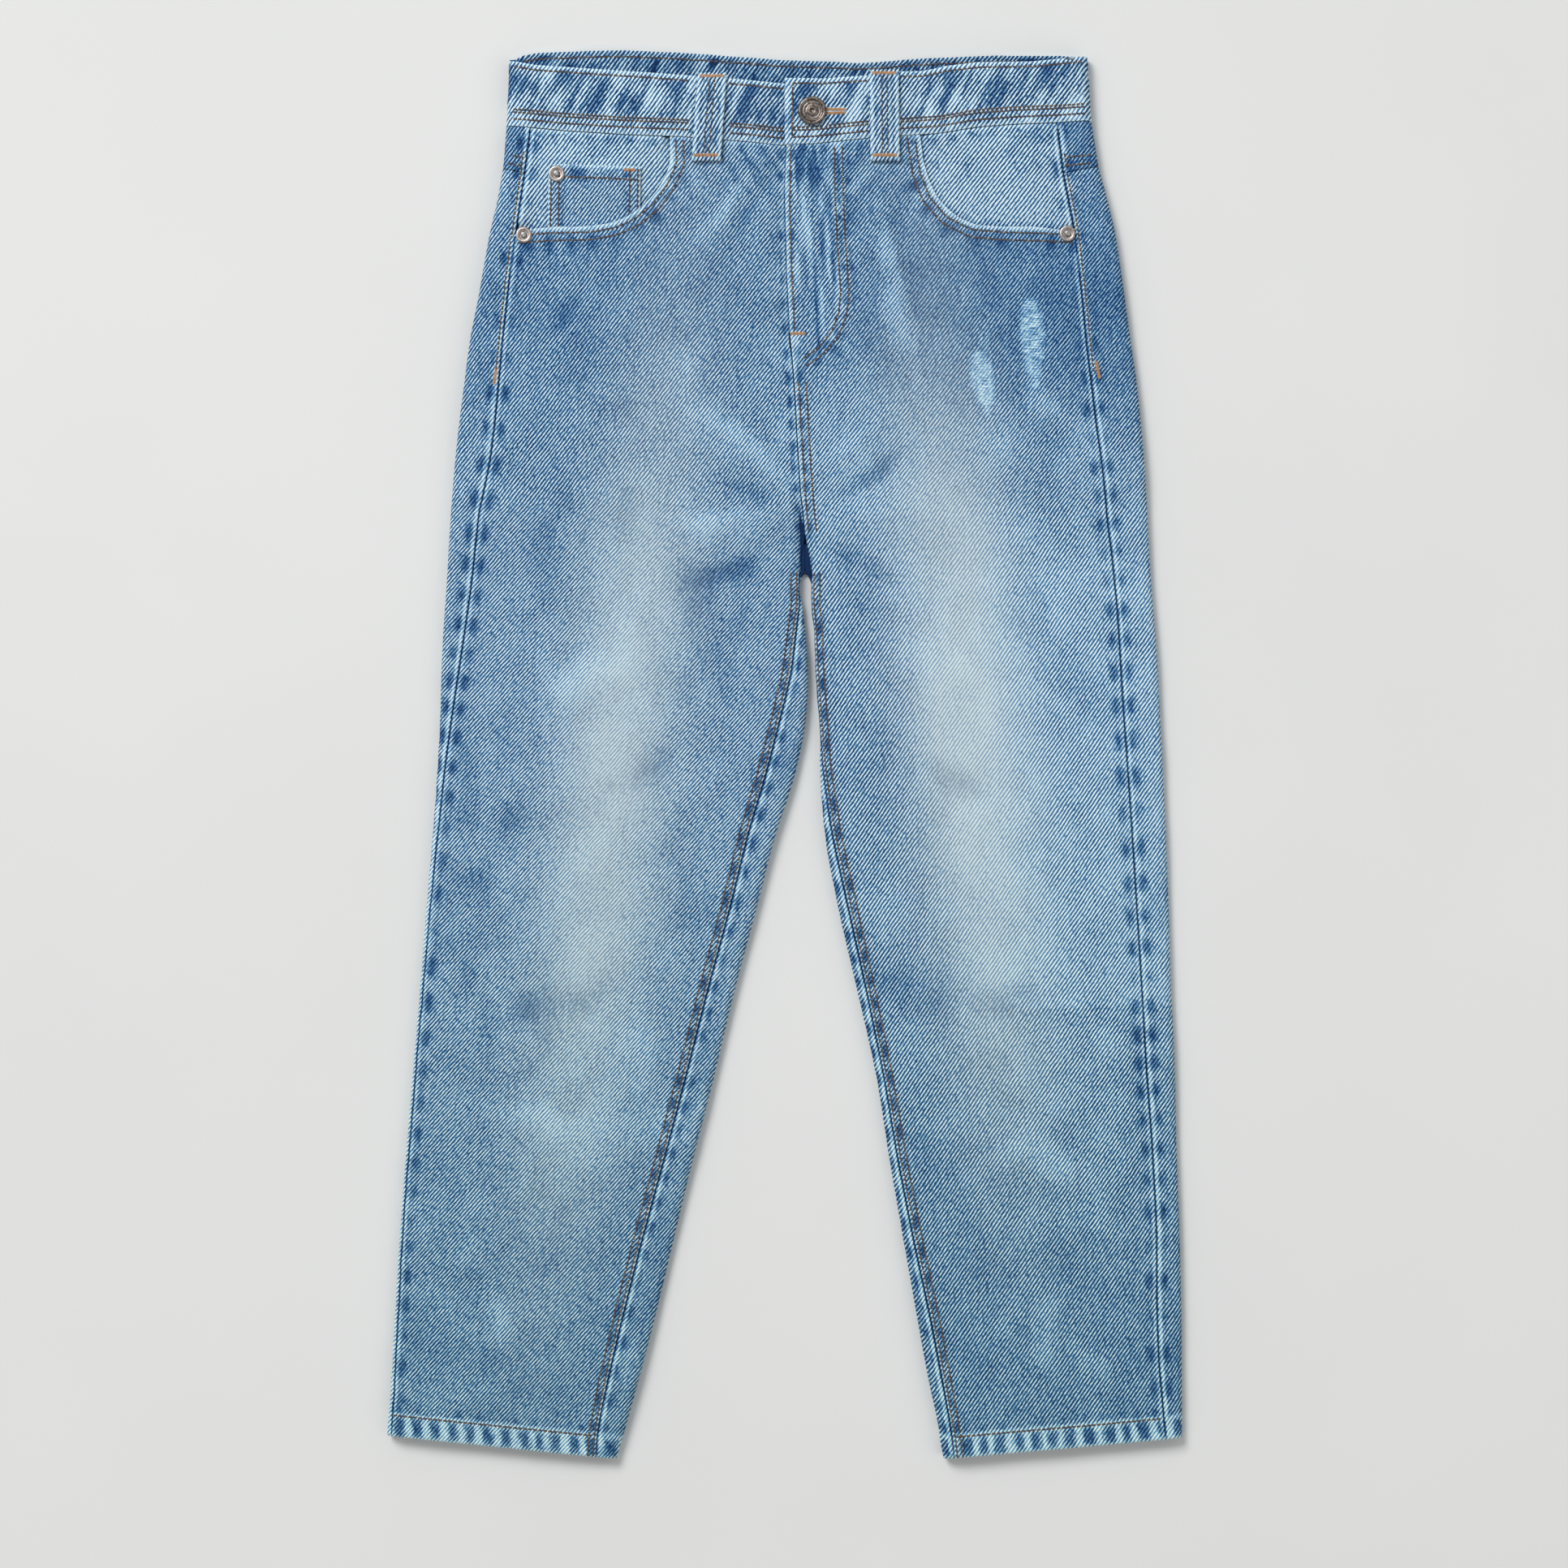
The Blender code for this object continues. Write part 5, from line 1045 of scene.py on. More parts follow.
# Fly.
# A denim shield sewn behind the opening, and over it a metal zip on woven tape, closed and hidden under the
# left front's lap.
flat = four_cornered(((-10.0, 361.5), (38.0, 361.5), (38.0, 236.0), (-6.0, 236.0)), 50, 22)
skin = [at_height(flat, top_z(1, flat[..., 0], flat[..., 1]) - 6.1)]
shield = cloth("denim_fly_shield", "fly_shield", 1, "shield", skin, DENIM)
frame["nodes"]["zip"].data.materials.clear()
frame["nodes"]["zip"].data.materials.append(woven("zip_tape_twill", ("#3E5578", "#5E7796"), 0.5))

# Coin pocket.
# A small square pocket on the wearer's right facing, with a doubled hem, double rows down its sides and a
# rivet in its corner. Its lower edge goes under the front.
flat = four_cornered(COIN, 36, 40)
x, y = flat[..., 0], flat[..., 1]
skin = [at_height(flat, top_z(-1, x, y) - facing_dip(-1, x, y) + 1.5)]
coin = cloth("denim_coin_pocket", "coin_pocket", -1, "coin", skin, DENIM)

# Waistband.
# A doubled strip of denim, 36 mm high, from the overlapped front round to centre back. The left end lies
# over the right and is worn white, with a keyhole for the button.
BAND = 2.4
BAND_FOLD = 6.4
BAND_TOP = {
    -1: [
        (-175.0, 415.4), (-164.7, 414.9), (-148.7, 412.0), (-110.3, 409.1), (-82.7, 407.2), (-52.1, 404.7),
        (-33.2, 403.3), (-14.3, 401.6), (0.0, 400.8), (40.0, 400.4),
    ],
    1: [
        (0.0, 403.6), (22.1, 403.3), (49.7, 405.2), (63.3, 407.4), (81.7, 407.8), (96.8, 411.0), (114.2, 413.3),
        (146.7, 413.9), (179.7, 417.4), (190.0, 418.0),
    ],
}
BAND_BACK = [
    (-175.0, 415.4), (-164.7, 416.4), (-156.9, 419.8), (-148.7, 421.5), (-131.2, 422.2), (-96.3, 422.7),
    (-47.8, 420.7), (-3.6, 416.9), (44.9, 415.4), (81.7, 417.8), (128.3, 419.8), (165.6, 419.8),
    (179.7, 418.3), (190.0, 418.0),
]
BUTTON_AT = (16.0, 383.7)
BUTTONHOLE_END = 35.6
DENIM_BAND = washed_denim("stone_washed_denim_band", tone=0.03, steep=1.35, contrast=1.35, pitch=2.05)


def band_z(side, x):
    """Outer surface of the band in front."""
    return top_z(side, x, 372.0) + 0.6


def back_seam(side, x):
    """Waist seam on the underside."""
    first = table_of(side)[0]
    start = first[2] - side * BAND_FOLD
    return first[0] + (365.0 - first[0]) * np.clip((x - start) / (CENTRE_BACK - start), 0.0, 1.0) + SEAM


def band_grid(side):
    """Outer skin of half the band, from its front end round the outer fold to centre back."""
    end = 38.5 if side < 0 else float(centre_x(363.0)) - 1.0
    low_fold, high_fold = table_of(side)[0][2], (-164.7 if side < 0 else 180.6)
    turn = low_fold - side * BAND_FOLD
    front_x = np.linspace(end, turn, 96)[:-1]
    back_x = np.linspace(turn, CENTRE_BACK, 70)[1:]
    lines = []
    for share in crowded(0.0, 1.0, 18, 0.75):
        shift = (high_fold - low_fold) * share
        round_off = 0.55 * bump(min(share, 1.0 - share) / 0.05) if min(share, 1.0 - share) < 0.05 else 0.0
        puff = 0.35 * bump(2.0 * share - 1.0) - round_off
        x = front_x + shift * (front_x - end) / (turn - end)
        low, high = between(BAND_LOW, x), between(BAND_TOP[side], x)
        under = 0.0 if side > 0 else 2.9 * bump(np.minimum(x - centre_x(363.0) + 3.0, 0.0) / 16.0)
        front = np.stack([x, low + (high - low) * share, band_z(side, x) - under + puff], 1)
        inset, height, up = fold_point(np.linspace(0.5, -0.5, 17) * math.pi * BAND_FOLD, BAND_FOLD)
        x = low_fold + shift - side * inset
        above = up > 1e-6
        low = np.where(above, between(BAND_LOW, x), back_seam(side, x))
        high = np.where(above, between(BAND_TOP[side], x), between(BAND_BACK, x))
        z = height + np.where(above, (band_z(side, turn) - 2.0 * BAND_FOLD) * up, 0.0)
        z = z + np.where(up < -0.9, lift(x, low), 0.0)
        fold = np.stack([x, low + (high - low) * share, z], 1)
        x = back_x + shift * (1.0 - (back_x - turn) / (back_x[-1] - turn))
        low, high = back_seam(side, x), between(BAND_BACK, x)
        back = np.stack([x, low + (high - low) * share, lift(x, low) + round_off], 1)
        lines.append(np.concatenate([front, fold, back]))
    return np.array(lines)


for wearer, word in SIDES.items():
    skin = [band_grid(wearer)]
    bands[wearer] = cloth(f"denim_waistband_{word}", f"waistband_{word}", wearer, "band", skin, DENIM_BAND, 2.2)

# Belt loops.
# Five narrow strips of folded denim, each bartacked at the top of the band and below it. The three behind
# lie flat under the waist.
LOOP_WIDTH = 17.5
DENIM_LOOP = washed_denim("stone_washed_denim_loop", tone=0.05, steep=1.6, contrast=1.3, pitch=2.05)
for node, high_x, high_y, low_x, low_y, face in LOOPS:
    lines = []
    for share in crowded(0.0, 1.0, 44, 0.5):
        x = high_x + (low_x - high_x) * share + LOOP_WIDTH * np.linspace(-0.5, 0.5, 19)
        y = np.full(19, high_y + (low_y - high_y) * share)
        rounded = 0.45 * (np.linspace(-1.0, 1.0, 19) ** 2) ** 4 + 0.5 * bump(min(share, 1.0 - share) / 0.03) * (min(share, 1.0 - share) < 0.03)
        if face > 0:
            ground = np.where(x < 0, band_z(-1, x), band_z(1, x)) + 0.7 + 1.5
            z = ground + 1.1 * bump(2.0 * share - 1.0) ** 0.5 - rounded
        else:
            z = rounded * 0.6
        lines.append(np.stack([x, y, z], 1))
    side = -1 if high_x < 0 else 1
    slot = node.replace("belt_loop", "denim_loop")
    loops[node] = cloth(f"denim_{node}", node, side, "loop", [np.array(lines)], DENIM_LOOP, 1.3)

# Back pockets.
# Five-sided patch pockets on the seat with a turned hem and two rows of thread, flat on the floor here.
BACK_POCKETS = {
    -1: ((-137.0, 289.0), (-34.0, 281.0), (-36.0, 184.0), (-87.0, 163.0), (-138.0, 192.0)),
    1: ((147.0, 289.0), (44.0, 281.0), (46.0, 184.0), (97.0, 163.0), (148.0, 192.0)),
}
for wearer, word in SIDES.items():
    a, b, c, d, e = BACK_POCKETS[wearer]
    flat = filled([a, b], [e, d, c], [a, e], [b, c], 44, 48)
    skin = [at_height(flat, 0.0)]
    pockets[wearer] = cloth(f"denim_back_pocket_{word}", f"back_pocket_{word}", wearer, "pocket", skin, DENIM)

# Button and rivets.
# An antique pewter shank button with a raised rim, turned up ring by ring, and three copper rivets with
# silvery nipples at the pocket corners.


def cast_metal(name, codes, roughness, grain):
    """Old plated metal with dark tarnish in random spots, its grain in mm."""
    look = bpy.data.materials.new(name)
    look.use_nodes = True
    tree = look.node_tree
    shader = tree.nodes["Principled BSDF"]
    place = add(tree, "ShaderNodeMapping", {"Vector": add(tree, "ShaderNodeTexCoord").outputs["Object"], "Scale": (1000.0,) * 3})
    spots = add(tree, "ShaderNodeTexNoise", {"Vector": place.outputs[0], "Scale": 1.0 / grain, "Detail": 5.0, "Roughness": 0.65})
    ramp = add(tree, "ShaderNodeValToRGB", {"Fac": spots.outputs[0]})
    ramp.color_ramp.elements[0].position, ramp.color_ramp.elements[0].color = 0.35, srgb(codes[0])
    ramp.color_ramp.elements[1].position, ramp.color_ramp.elements[1].color = 0.65, srgb(codes[1])
    tree.links.new(ramp.outputs[0], shader.inputs["Base Color"])
    shader.inputs["Metallic"].default_value = 1.0
    rough_by = sum_of(tree, "MULTIPLY_ADD", spots.outputs[0], 0.3, roughness - 0.15)
    tree.links.new(rough_by, shader.inputs["Roughness"])
    raised = add(tree, "ShaderNodeBump", {"Height": spots.outputs[0], "Strength": 0.3, "Distance": 0.0002})
    tree.links.new(raised.outputs[0], shader.inputs["Normal"])
    return look


def turned(name, node, at, profile, look, corners=56):
    """A round piece drawn up from its foot: each step is a radius and a height."""
    radius, height = profile[0]
    centre = [(at[axis] - MIDDLE[axis]) * MM for axis in (0, 1)]
    bpy.ops.object.select_all(action="DESELECT")
    bpy.ops.mesh.primitive_circle_add(vertices=corners, radius=radius * MM, fill_type="NGON", location=(*centre, height * MM))
    piece = bpy.context.object
    piece.name = piece.data.name = name
    bpy.ops.object.mode_set(mode="EDIT")
    bpy.ops.mesh.select_all(action="SELECT")
    for wider, higher in profile[1:]:
        bpy.ops.mesh.extrude_region_move(TRANSFORM_OT_translate={"value": (0.0, 0.0, (higher - height) * MM)})
        bpy.ops.transform.resize(value=(wider / radius, wider / radius, 1.0), center_override=(*centre, higher * MM))
        radius, height = wider, higher
    bpy.ops.mesh.select_all(action="SELECT")
    bpy.ops.mesh.normals_make_consistent(inside=False)
    bpy.ops.object.mode_set(mode="OBJECT")
    bpy.ops.object.transform_apply(location=True, rotation=True, scale=True)
    bpy.ops.object.shade_smooth_by_angle(angle=math.radians(38.0))
    piece.data.materials.append(look)
    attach(piece, "root")
    if node:
        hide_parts(node)
    return piece


PEWTER = cast_metal("antique_pewter", ("#463D39", "#9A918A"), 0.4, 1.4)
COPPER = cast_metal("worn_copper", ("#958A86", "#D0C6C1"), 0.42, 1.2)
NICKEL = cast_metal("worn_nickel", ("#8E8B88", "#CFCDCA"), 0.35, 0.9)
high = float(band_z(1, BUTTON_AT[0])) + 0.35
foot = high - BAND - 0.4
BUTTON_RINGS = [
    (2.0, foot), (2.0, high + 0.5), (7.4, high + 0.5), (8.2, high + 0.8), (8.5, high + 1.3), (8.5, high + 1.9),
    (8.3, high + 2.5), (7.8, high + 2.95), (7.2, high + 3.0), (6.6, high + 2.8), (6.2, high + 2.3), (5.9, high + 2.05),
    (5.4, high + 2.0), (5.1, high + 2.15), (4.8, high + 2.2), (4.5, high + 2.05), (3.4, high + 2.15), (2.9, high + 2.35),
    (2.5, high + 2.75), (2.0, high + 2.9), (1.5, high + 2.85), (1.1, high + 2.5), (0.8, high + 2.0), (0.3, high + 1.85),
]
button = turned("shank_button", "button", BUTTON_AT, BUTTON_RINGS, PEWTER)
for node, x, y, slot in (
    ("rivet_right", -155.9, 310.6, "copper_right"),
    ("rivet_left", 168.2, 311.4, "copper_left"),
    ("rivet_coin", -136.2, 346.9, "copper_coin"),
):
    side = -1 if x < 0 else 1
    rim = top_z(side, x + 4.75 * np.cos(np.linspace(0.0, 6.0, 9)), y + 4.75 * np.sin(np.linspace(0.0, 6.0, 9)))
    sunk = 1.5 - float(facing_dip(side, np.array(x), np.array(y))) if node == "rivet_coin" else 0.0
    ground = max(float(rim.max()), float(top_z(side, x, y))) + sunk + 0.35
    disc = [
        (4.35, ground), (4.75, ground + 0.3), (4.75, ground + 0.5), (4.4, ground + 0.85), (3.9, ground + 0.95),
        (3.1, ground + 0.85), (2.85, ground + 0.6), (2.75, ground - 0.3), (1.5, ground - 0.3),
    ]
    turned(f"copper_{node}", node, (x, y), disc, COPPER, 40)
    nipple = [(1.75, ground - 0.2), (1.75, ground + 1.3), (1.6, ground + 1.7), (1.3, ground + 1.95), (0.9, ground + 2.05), (0.2, ground + 1.95)]
    turned(f"nickel_{node}", None, (x, y), nipple, NICKEL, 32)

# Thread.
# Brown-grey topstitching, two rows at every felled seam and one at the edges, 3 mm to a stitch, and tan
# bartacks where a seam is pulled. Each stitch is a short strand that dips into the cloth at both ends.
ON_TOP = {side: [fronts[side], facings[side], backs[side], yokes[side]] for side in SIDES}


def ground_of(pieces):
    """What a needle meets: the surface of these pieces."""
    points, faces, start = [], [], 0
    for piece in pieces:
        mesh = piece.data
        points += [vertex.co.copy() for vertex in mesh.vertices]
        faces += [[corner + start for corner in face.vertices] for face in mesh.polygons]
        start += len(mesh.vertices)
    return BVHTree.FromPolygons(points, faces)


def meets(ground, x, y, face):
    """Height of the cloth at a place, in mm, seen from above or from below."""
    start = Vector(((x - MIDDLE[0]) * MM, (y - MIDDLE[1]) * MM, 0.05 * face))
    hit = ground.ray_cast(start, Vector((0.0, 0.0, -face)))[0]
    return None if hit is None else hit.z / MM


def along_row(line, pitch=3.0, long=2.6, skip=()):
    """Stitches along a line of places, leaving out those inside the skipped boxes."""
    steps = np.cumsum([0.0] + [math.dist(a, b) for a, b in zip(line, line[1:])])
    found = []
    for middle in np.arange(0.5 * pitch, steps[-1], pitch):
        ends = [[float(np.interp(at, steps, [p[axis] for p in line])) for axis in (0, 1)] for at in (middle - 0.5 * long, middle + 0.5 * long)]
        x, y = 0.5 * (ends[0][0] + ends[1][0]), 0.5 * (ends[0][1] + ends[1][1])
        if not any(low_x < x < high_x and low_y < y < high_y for low_x, high_x, low_y, high_y in skip):
            found.append((*ends[0], *ends[1]))
    return found


def bartack(x, y, angle, length, width=2.2):
    """Close crosswise stitches over a short length, its direction in degrees."""
    dx, dy = math.cos(math.radians(angle)), math.sin(math.radians(angle))
    found = []
    for number in range(int(length / 0.5)):
        at = -0.5 * length + 0.5 * number
        lean = 0.18 if number % 2 else -0.18
        a = (x + dx * (at - lean) - dy * 0.5 * width, y + dy * (at - lean) + dx * 0.5 * width)
        b = (x + dx * (at + lean) + dy * 0.5 * width, y + dy * (at + lean) - dx * 0.5 * width)
        found.append((*a, *b))
    return found


def sewn(name, ground, face, stitches, look, wide=1.35, high=0.38):
    """One mesh of stitches laid on the cloth."""
    points, faces = [], []
    for ax, ay, bx, by in stitches:
        levels = [meets(ground, ax + (bx - ax) * s, ay + (by - ay) * s, face) for s in (0.0, 0.5, 1.0)]
        if None in levels or max(levels) - min(levels) > 1.2:
            continue
        length = math.hypot(bx - ax, by - ay)
        px, py = -(by - ay) / length, (bx - ax) / length
        start = len(points)
        for share, level, width, up in (
            (0.0, levels[0], 0.28, -0.06), (0.22, 0.5 * (levels[0] + levels[1]), 0.5, 0.8),
            (0.78, 0.5 * (levels[1] + levels[2]), 0.5, 0.8), (1.0, levels[2], 0.28, -0.06),
        ):
            x, y = ax + (bx - ax) * share, ay + (by - ay) * share
            base, top = level - 0.12 * face, level + up * high * face
            half = wide * width
            points += [(x - px * half, y - py * half, base), (x + px * half, y + py * half, base)]
            points += [(x + px * half * 0.6, y + py * half * 0.6, top), (x - px * half * 0.6, y - py * half * 0.6, top)]
        for ring in range(3):
            low = start + 4 * ring
            for corner in range(4):
                after = (corner + 1) % 4
                faces.append((low + corner, low + after, low + 4 + after, low + 4 + corner))
        faces += [(start + 3, start + 2, start + 1, start), (start + 12, start + 13, start + 14, start + 15)]
    if face < 0:
        faces = [side[::-1] for side in faces]
    piece = mesh_of(name, points, [side[::-1] for side in faces], look)
    print("sewn", name, len(stitches), len(piece.data.polygons) * 2)
    return piece


def twisted_thread(name, codes):
    """Three-ply cotton-wrapped thread, paler where the wash rubbed it."""
    look = bpy.data.materials.new(name)
    look.use_nodes = True
    tree = look.node_tree
    shader = tree.nodes["Principled BSDF"]
    place = add(tree, "ShaderNodeMapping", {"Vector": add(tree, "ShaderNodeTexCoord").outputs["Object"], "Scale": (1000.0,) * 3})
    rubbed = add(tree, "ShaderNodeTexNoise", {"Vector": place.outputs[0], "Scale": 0.25, "Detail": 4.0}).outputs[0]
    ply = add(tree, "ShaderNodeTexWave", {"Vector": place.outputs[0], "Scale": 0.55, "Distortion": 1.0}, bands_direction="DIAGONAL").outputs[1]
    ramp = add(tree, "ShaderNodeValToRGB", {"Fac": sum_of(tree, "MULTIPLY_ADD", ply, 0.3, sum_of(tree, "MULTIPLY", rubbed, 0.75))})
    ramp.color_ramp.elements[0].position, ramp.color_ramp.elements[0].color = 0.25, srgb(codes[0])
    ramp.color_ramp.elements[1].position, ramp.color_ramp.elements[1].color = 0.75, srgb(codes[1])
    tree.links.new(ramp.outputs[0], shader.inputs["Base Color"])
    shader.inputs["Roughness"].default_value = 0.75
    raised = add(tree, "ShaderNodeBump", {"Height": ply, "Strength": 0.5, "Distance": 0.0002})
    tree.links.new(raised.outputs[0], shader.inputs["Normal"])
    return look


TOPSTITCH = twisted_thread("brown_grey_topstitch_thread", ("#2E2726", "#6F5D53"))
TACKING = twisted_thread("tan_bartack_thread", ("#A8703F", "#D9A878"))


def beside(line, away):
    """The line moved sideways, to its left where away is above nought."""
    moved = []
    for number, (x, y) in enumerate(line):
        ax, ay = line[max(number - 1, 0)]
        bx, by = line[min(number + 1, len(line) - 1)]
        length = math.hypot(bx - ax, by - ay)
        moved.append((x - (by - ay) / length * away, y + (bx - ax) / length * away))
    return moved


UNDER_LOOPS = [(min(a, c) - 9.5, max(a, c) + 9.5, d - 1.0, b + 1.0) for _, a, b, c, d, face in LOOPS if face > 0]
UNDER_BUTTON = [(7.0, 25.0, 375.0, 393.0)]
for wearer, word in SIDES.items():
    ground = ground_of([fronts[wearer]])
    rows, tacks = [], []
    pocket = SCOOPS[wearer]
    rows += along_row(beside(pocket, -wearer * 3.5)) + along_row(beside(pocket, -wearer * 8.0))
    inseam = inseam_line(wearer)
    rows += along_row(beside(inseam, wearer * 1.9)) + along_row(beside(inseam, wearer * 5.2))
    foot = table_of(wearer)[-1]
    hem = [(x, line_y(foot, x) + 12.6) for x in np.linspace(foot[2] - wearer * 4.0, foot[4] + wearer * 4.0, 30)]
    rows += along_row(hem)
    if wearer > 0:
        lap = [(x + 2.9, y) for x, y in CENTRE_LINE]
        rows += along_row([point for point in lap if point[1] > 246.0]) + along_row(J_LINE) + along_row(beside(J_LINE, -4.9))
        lower = [point for point in CENTRE_LINE if point[1] < 250.0]
        rows += along_row([(x + 2.6, y) for x, y in lower]) + along_row([(x + 7.0, y) for x, y in lower])
        tacks += bartack(7.8, 251.5, 0.0, 9.0)
    sewn(f"topstitch_front_{word}", ground, 1, rows, TOPSTITCH)
    if tacks:
        sewn(f"bartacks_fly", ground, 1, tacks, TACKING, 0.5)

    ground = ground_of([bands[wearer]])
    ends = (4.0, 182.0) if wearer > 0 else (-165.0, -0.4)
    rows = []
    places = np.linspace(ends[0], ends[1], 60)
    rows += along_row([(x, float(between(BAND_TOP[wearer], x)) - 3.2) for x in places], skip=UNDER_LOOPS)
    for height in (4.2, 8.2, 9.9):
        rows += along_row([(x, float(between(BAND_LOW, x)) + height) for x in places], 2.7, 2.4, UNDER_LOOPS + UNDER_BUTTON)
    if wearer > 0:
        rows += along_row([(4.2, 368.5), (4.6, 400.0)])
    rows += along_row([(x, float(between(BAND_BACK, x)) - 4.0) for x in np.linspace(CENTRE_BACK, 172.0 if wearer > 0 else -156.0, 60)])
    sewn(f"topstitch_band_{word}", ground, 1, rows, TOPSTITCH)
    behind = [(min(a, c) - 9.5, max(a, c) + 9.5, d - 1.0, b + 1.0) for _, a, b, c, d, face in LOOPS if face < 0]
    places = np.linspace(CENTRE_BACK + wearer * 1.5, 172.0 * wearer if wearer > 0 else -158.0, 60)
    rows = along_row([(x, float(between(BAND_BACK, x)) - 3.2) for x in places], skip=behind)
    for height in (4.0, 8.2):
        rows += along_row([(x, float(back_seam(wearer, x)) + height) for x in places], 2.7, 2.4, behind)
    sewn(f"topstitch_band_behind_{word}", ground, -1, rows, TOPSTITCH)

    ground = ground_of([backs[wearer], yokes[wearer]])
    yoke_out, yoke_in = YOKE_SEAM[wearer]
    seam = [(float(outer_x(wearer, yoke_out)) - wearer * 6.0, yoke_out), (CENTRE_BACK + wearer, yoke_in)]
    rows = []
    for away in (1.8, 7.0):
        rows += along_row([(x, y + away) for x, y in seam])
    for away in (1.6, 6.8):
        rows += along_row([(CENTRE_BACK + 0.15 + away, 364.0), (CENTRE_BACK + 0.15 + away, 172.0)]) if wearer > 0 else []
    foot = table_of(wearer)[-1]
    rows += along_row([(x, line_y(foot, x) + 12.6) for x in np.linspace(foot[2] - wearer * 5.0, foot[4] + wearer * 5.0, 30)])
    sewn(f"topstitch_behind_{word}", ground, -1, rows, TOPSTITCH)
    side_rows = []
    edge = [point for point in outseam_line(wearer) if 224.0 < point[1] < 372.0]
    side_rows += along_row(beside(edge, wearer * 2.2))
    for away in (3.0, 8.0):
        side_rows += along_row([(float(outseam_x(wearer, 346.0)) + wearer * 0.8, 349.0 + away), (float(outer_x(wearer, 350.0)) - wearer * 1.0, 351.0 + away)])
    sewn(f"topstitch_side_{word}", ground, 1, side_rows, TOPSTITCH)
    tack_x, tack_y = ((-173.0, 227.2) if wearer < 0 else (186.4, 230.6))
    sewn(f"bartack_side_{word}", ground, 1, bartack(tack_x, tack_y, 82.0 if wearer < 0 else 102.0, 10.5), TACKING, 0.5)

    ground = ground_of([pockets[wearer]])
    outline = list(BACK_POCKETS[wearer]) + [BACK_POCKETS[wearer][0]]
    rows = []
    for away in (1.8, 7.6):
        centre = np.mean(BACK_POCKETS[wearer], axis=0)
        small = [tuple(np.array(p) + (centre - np.array(p)) / np.linalg.norm(centre - np.array(p)) * away * 1.3) for p in BACK_POCKETS[wearer]]
        rows += along_row(small[1:] + small[:1]) if away < 7 else along_row(small[1:] + small[:1])
    a, b = np.array(BACK_POCKETS[wearer][0]), np.array(BACK_POCKETS[wearer][1])
    rows += along_row([tuple(a + (wearer * -1.5, -12.0)), tuple(b + (wearer * 1.5, -12.0))])
    sewn(f"topstitch_back_pocket_{word}", ground, -1, rows, TOPSTITCH)

rows = along_row([(COIN[0][0] + 2, 345.4), (-88.5, 343.4)])
for inset in (1.6, 6.4):
    rows += along_row([(COIN[0][0] + inset, 351.5), (COIN[3][0] + inset, 304.0)])
    rows += along_row([(COIN[1][0] - inset, 350.0), (COIN[2][0] - inset, 304.0)])
ground = ground_of([coin])
sewn("topstitch_coin_pocket", ground, 1, rows, TOPSTITCH)
sewn("bartack_coin_pocket", ground, 1, bartack(-92.5, 349.0, 0.0, 6.5), TACKING, 0.5)

for node, high_x, high_y, low_x, low_y, face in LOOPS:
    ground = ground_of([loops[node]])
    rows = []
    for away in (-1.6, 1.6):
        rows += along_row([(high_x + away, high_y - 3.5), (low_x + away, low_y + 4.5)], 2.8, 2.2)
    slot = node.replace("belt_loop", "denim_loop")
    sewn(f"topstitch_{node}", ground, face, rows, TOPSTITCH, 0.85)
    tacks = bartack(high_x, high_y - 2.0, 0.0, 14.5) + bartack(low_x, low_y + 3.5, 0.0, 14.5)
    sewn(f"bartacks_{node}", ground, face, tacks, TACKING, 0.5)

# Buttonhole.
# A keyhole cut through the left end of the band and whipped round with tan thread.
x, y = BUTTON_AT
eye = [(x + 2.6 * math.cos(a), y + 2.6 * math.sin(a)) for a in np.linspace(0.25, 2.0 * math.pi - 0.25, 17)]
eye += [(BUTTONHOLE_END, y - 0.2), (BUTTONHOLE_END, y + 0.2)]
ground = ground_of([bands[1]])
stitches = []
ring = eye + [eye[0]]
steps = np.cumsum([0.0] + [math.dist(a, b) for a, b in zip(ring, ring[1:])])
for at in np.arange(0.0, steps[-1], 0.55):
    px, py = (float(np.interp(at, steps, [p[axis] for p in ring])) for axis in (0, 1))
    qx, qy = (float(np.interp((at + 0.1) % steps[-1], steps, [p[axis] for p in ring])) for axis in (0, 1))
    length = max(math.hypot(qx - px, qy - py), 1e-6)
    out_x, out_y = (qy - py) / length, -(qx - px) / length
    stitches.append((px - 0.2 * out_x, py - 0.2 * out_y, px + 1.7 * out_x, py + 1.7 * out_y))
sewn("buttonhole_whipping", ground, 1, stitches, TACKING, 0.55)
number = len(eye)
z = float(band_z(1, x))
cutter = mesh_of(
    "buttonhole_cutter",
    [(px, py, z - 6.0) for px, py in eye] + [(px, py, z + 4.0) for px, py in eye],
    [tuple(range(number)), tuple(range(2 * number - 1, number - 1, -1))]
    + [((step + 1) % number, step, number + step, number + (step + 1) % number) for step in range(number)],
    DENIM,
)
cut = bands[1].modifiers.new("buttonhole", "BOOLEAN")
cut.operation, cut.solver, cut.object = "DIFFERENCE", "EXACT", cutter
bpy.ops.object.select_all(action="DESELECT")
bpy.context.view_layer.objects.active = bands[1]
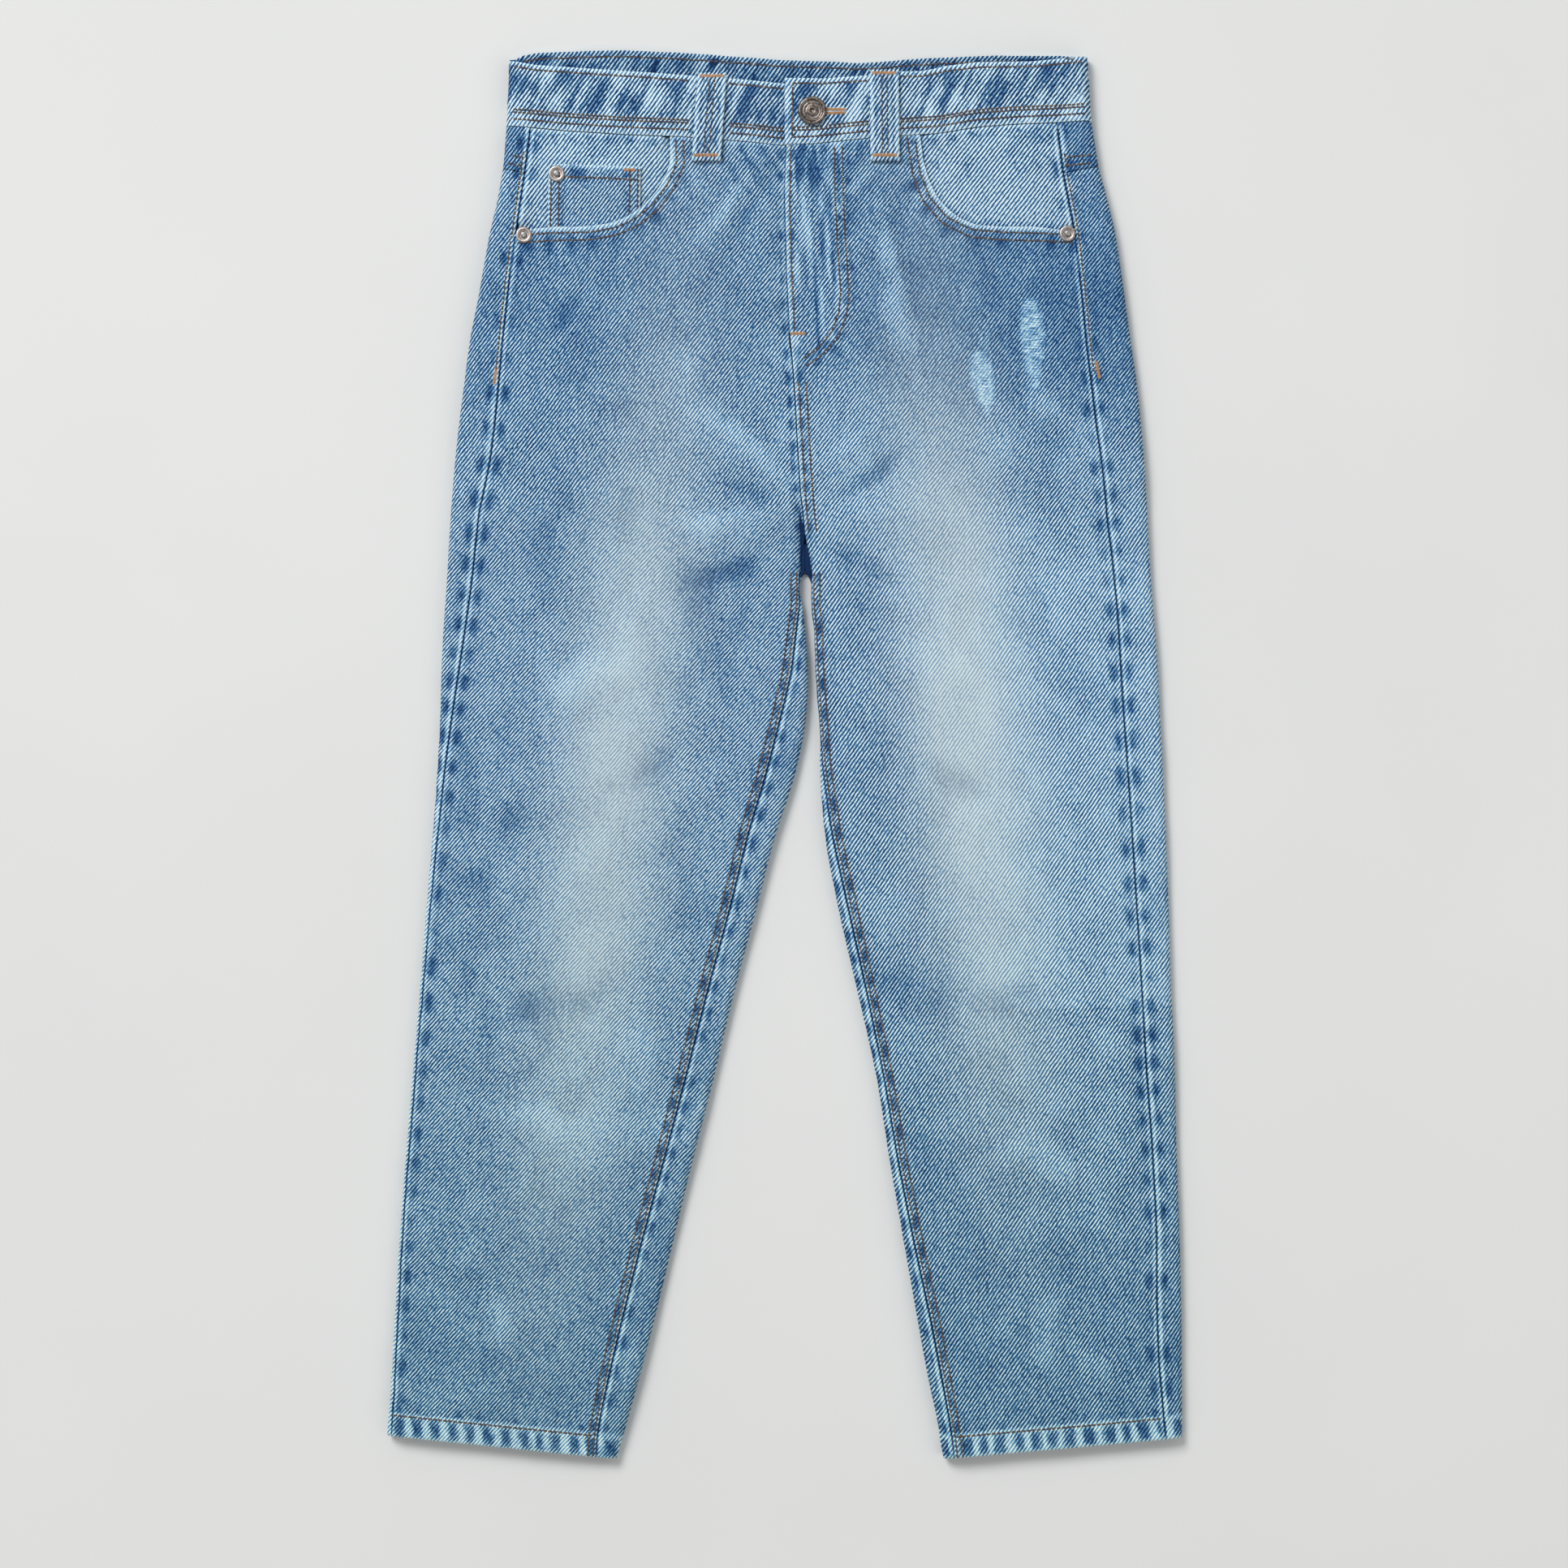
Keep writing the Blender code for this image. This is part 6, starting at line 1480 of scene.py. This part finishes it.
bpy.ops.object.modifier_apply(modifier="buttonhole")
bpy.data.objects.remove(cutter, do_unlink=True)

# Studio.
# A pale grey paper floor, soft light from the upper left, and the camera straight above.
bpy.ops.object.select_all(action="DESELECT")
bpy.ops.mesh.primitive_plane_add(size=6.0, location=(0.0, 0.0, 0.0))
floor = bpy.context.object
floor.name = "floor"
floor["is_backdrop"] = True
paper = bpy.data.materials.new("pale_grey_paper")
paper.use_nodes = True
tree = paper.node_tree
place = add(tree, "ShaderNodeTexCoord").outputs["Object"]
fibre = add(tree, "ShaderNodeTexNoise", {"Vector": place, "Scale": 3.0, "Detail": 4.0}).outputs[0]
ramp = add(tree, "ShaderNodeValToRGB", {"Fac": fibre})
ramp.color_ramp.elements[0].color, ramp.color_ramp.elements[1].color = srgb("#DCDDDC"), srgb("#E6E7E6")
tree.links.new(ramp.outputs[0], tree.nodes["Principled BSDF"].inputs["Base Color"])
tree.nodes["Principled BSDF"].inputs["Roughness"].default_value = 0.85
floor.data.materials.append(paper)

sky = bpy.data.worlds.new("studio")
sky.use_nodes = True
sky.node_tree.nodes["Background"].inputs[0].default_value = (1.0, 1.0, 0.99, 1.0)
sky.node_tree.nodes["Background"].inputs[1].default_value = 0.43
bpy.context.scene.world = sky
for name, place, size, power in (("key", (-2.8, 3.6, 5.2), 2.8, 330.0), ("fill", (3.2, -1.4, 3.6), 3.0, 24.0)):
    lamp = bpy.data.lights.new(name, "AREA")
    lamp.size, lamp.energy = size, power
    holder = bpy.data.objects.new(name, lamp)
    holder.location = place
    holder.rotation_euler = (Vector((0.0, 0.0, 0.0)) - Vector(place)).to_track_quat("-Z", "Y").to_euler()
    bpy.context.scene.collection.objects.link(holder)
bpy.context.scene.view_settings.view_transform = "Standard"

lens = bpy.data.cameras.new("overhead")
lens.lens, lens.sensor_width = 85.0, 36.0
camera = bpy.data.objects.new("overhead", lens)
camera.location = (-0.00013, -0.0182, 2.2204)
bpy.context.scene.collection.objects.link(camera)
bpy.context.scene.camera = camera

low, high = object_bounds()
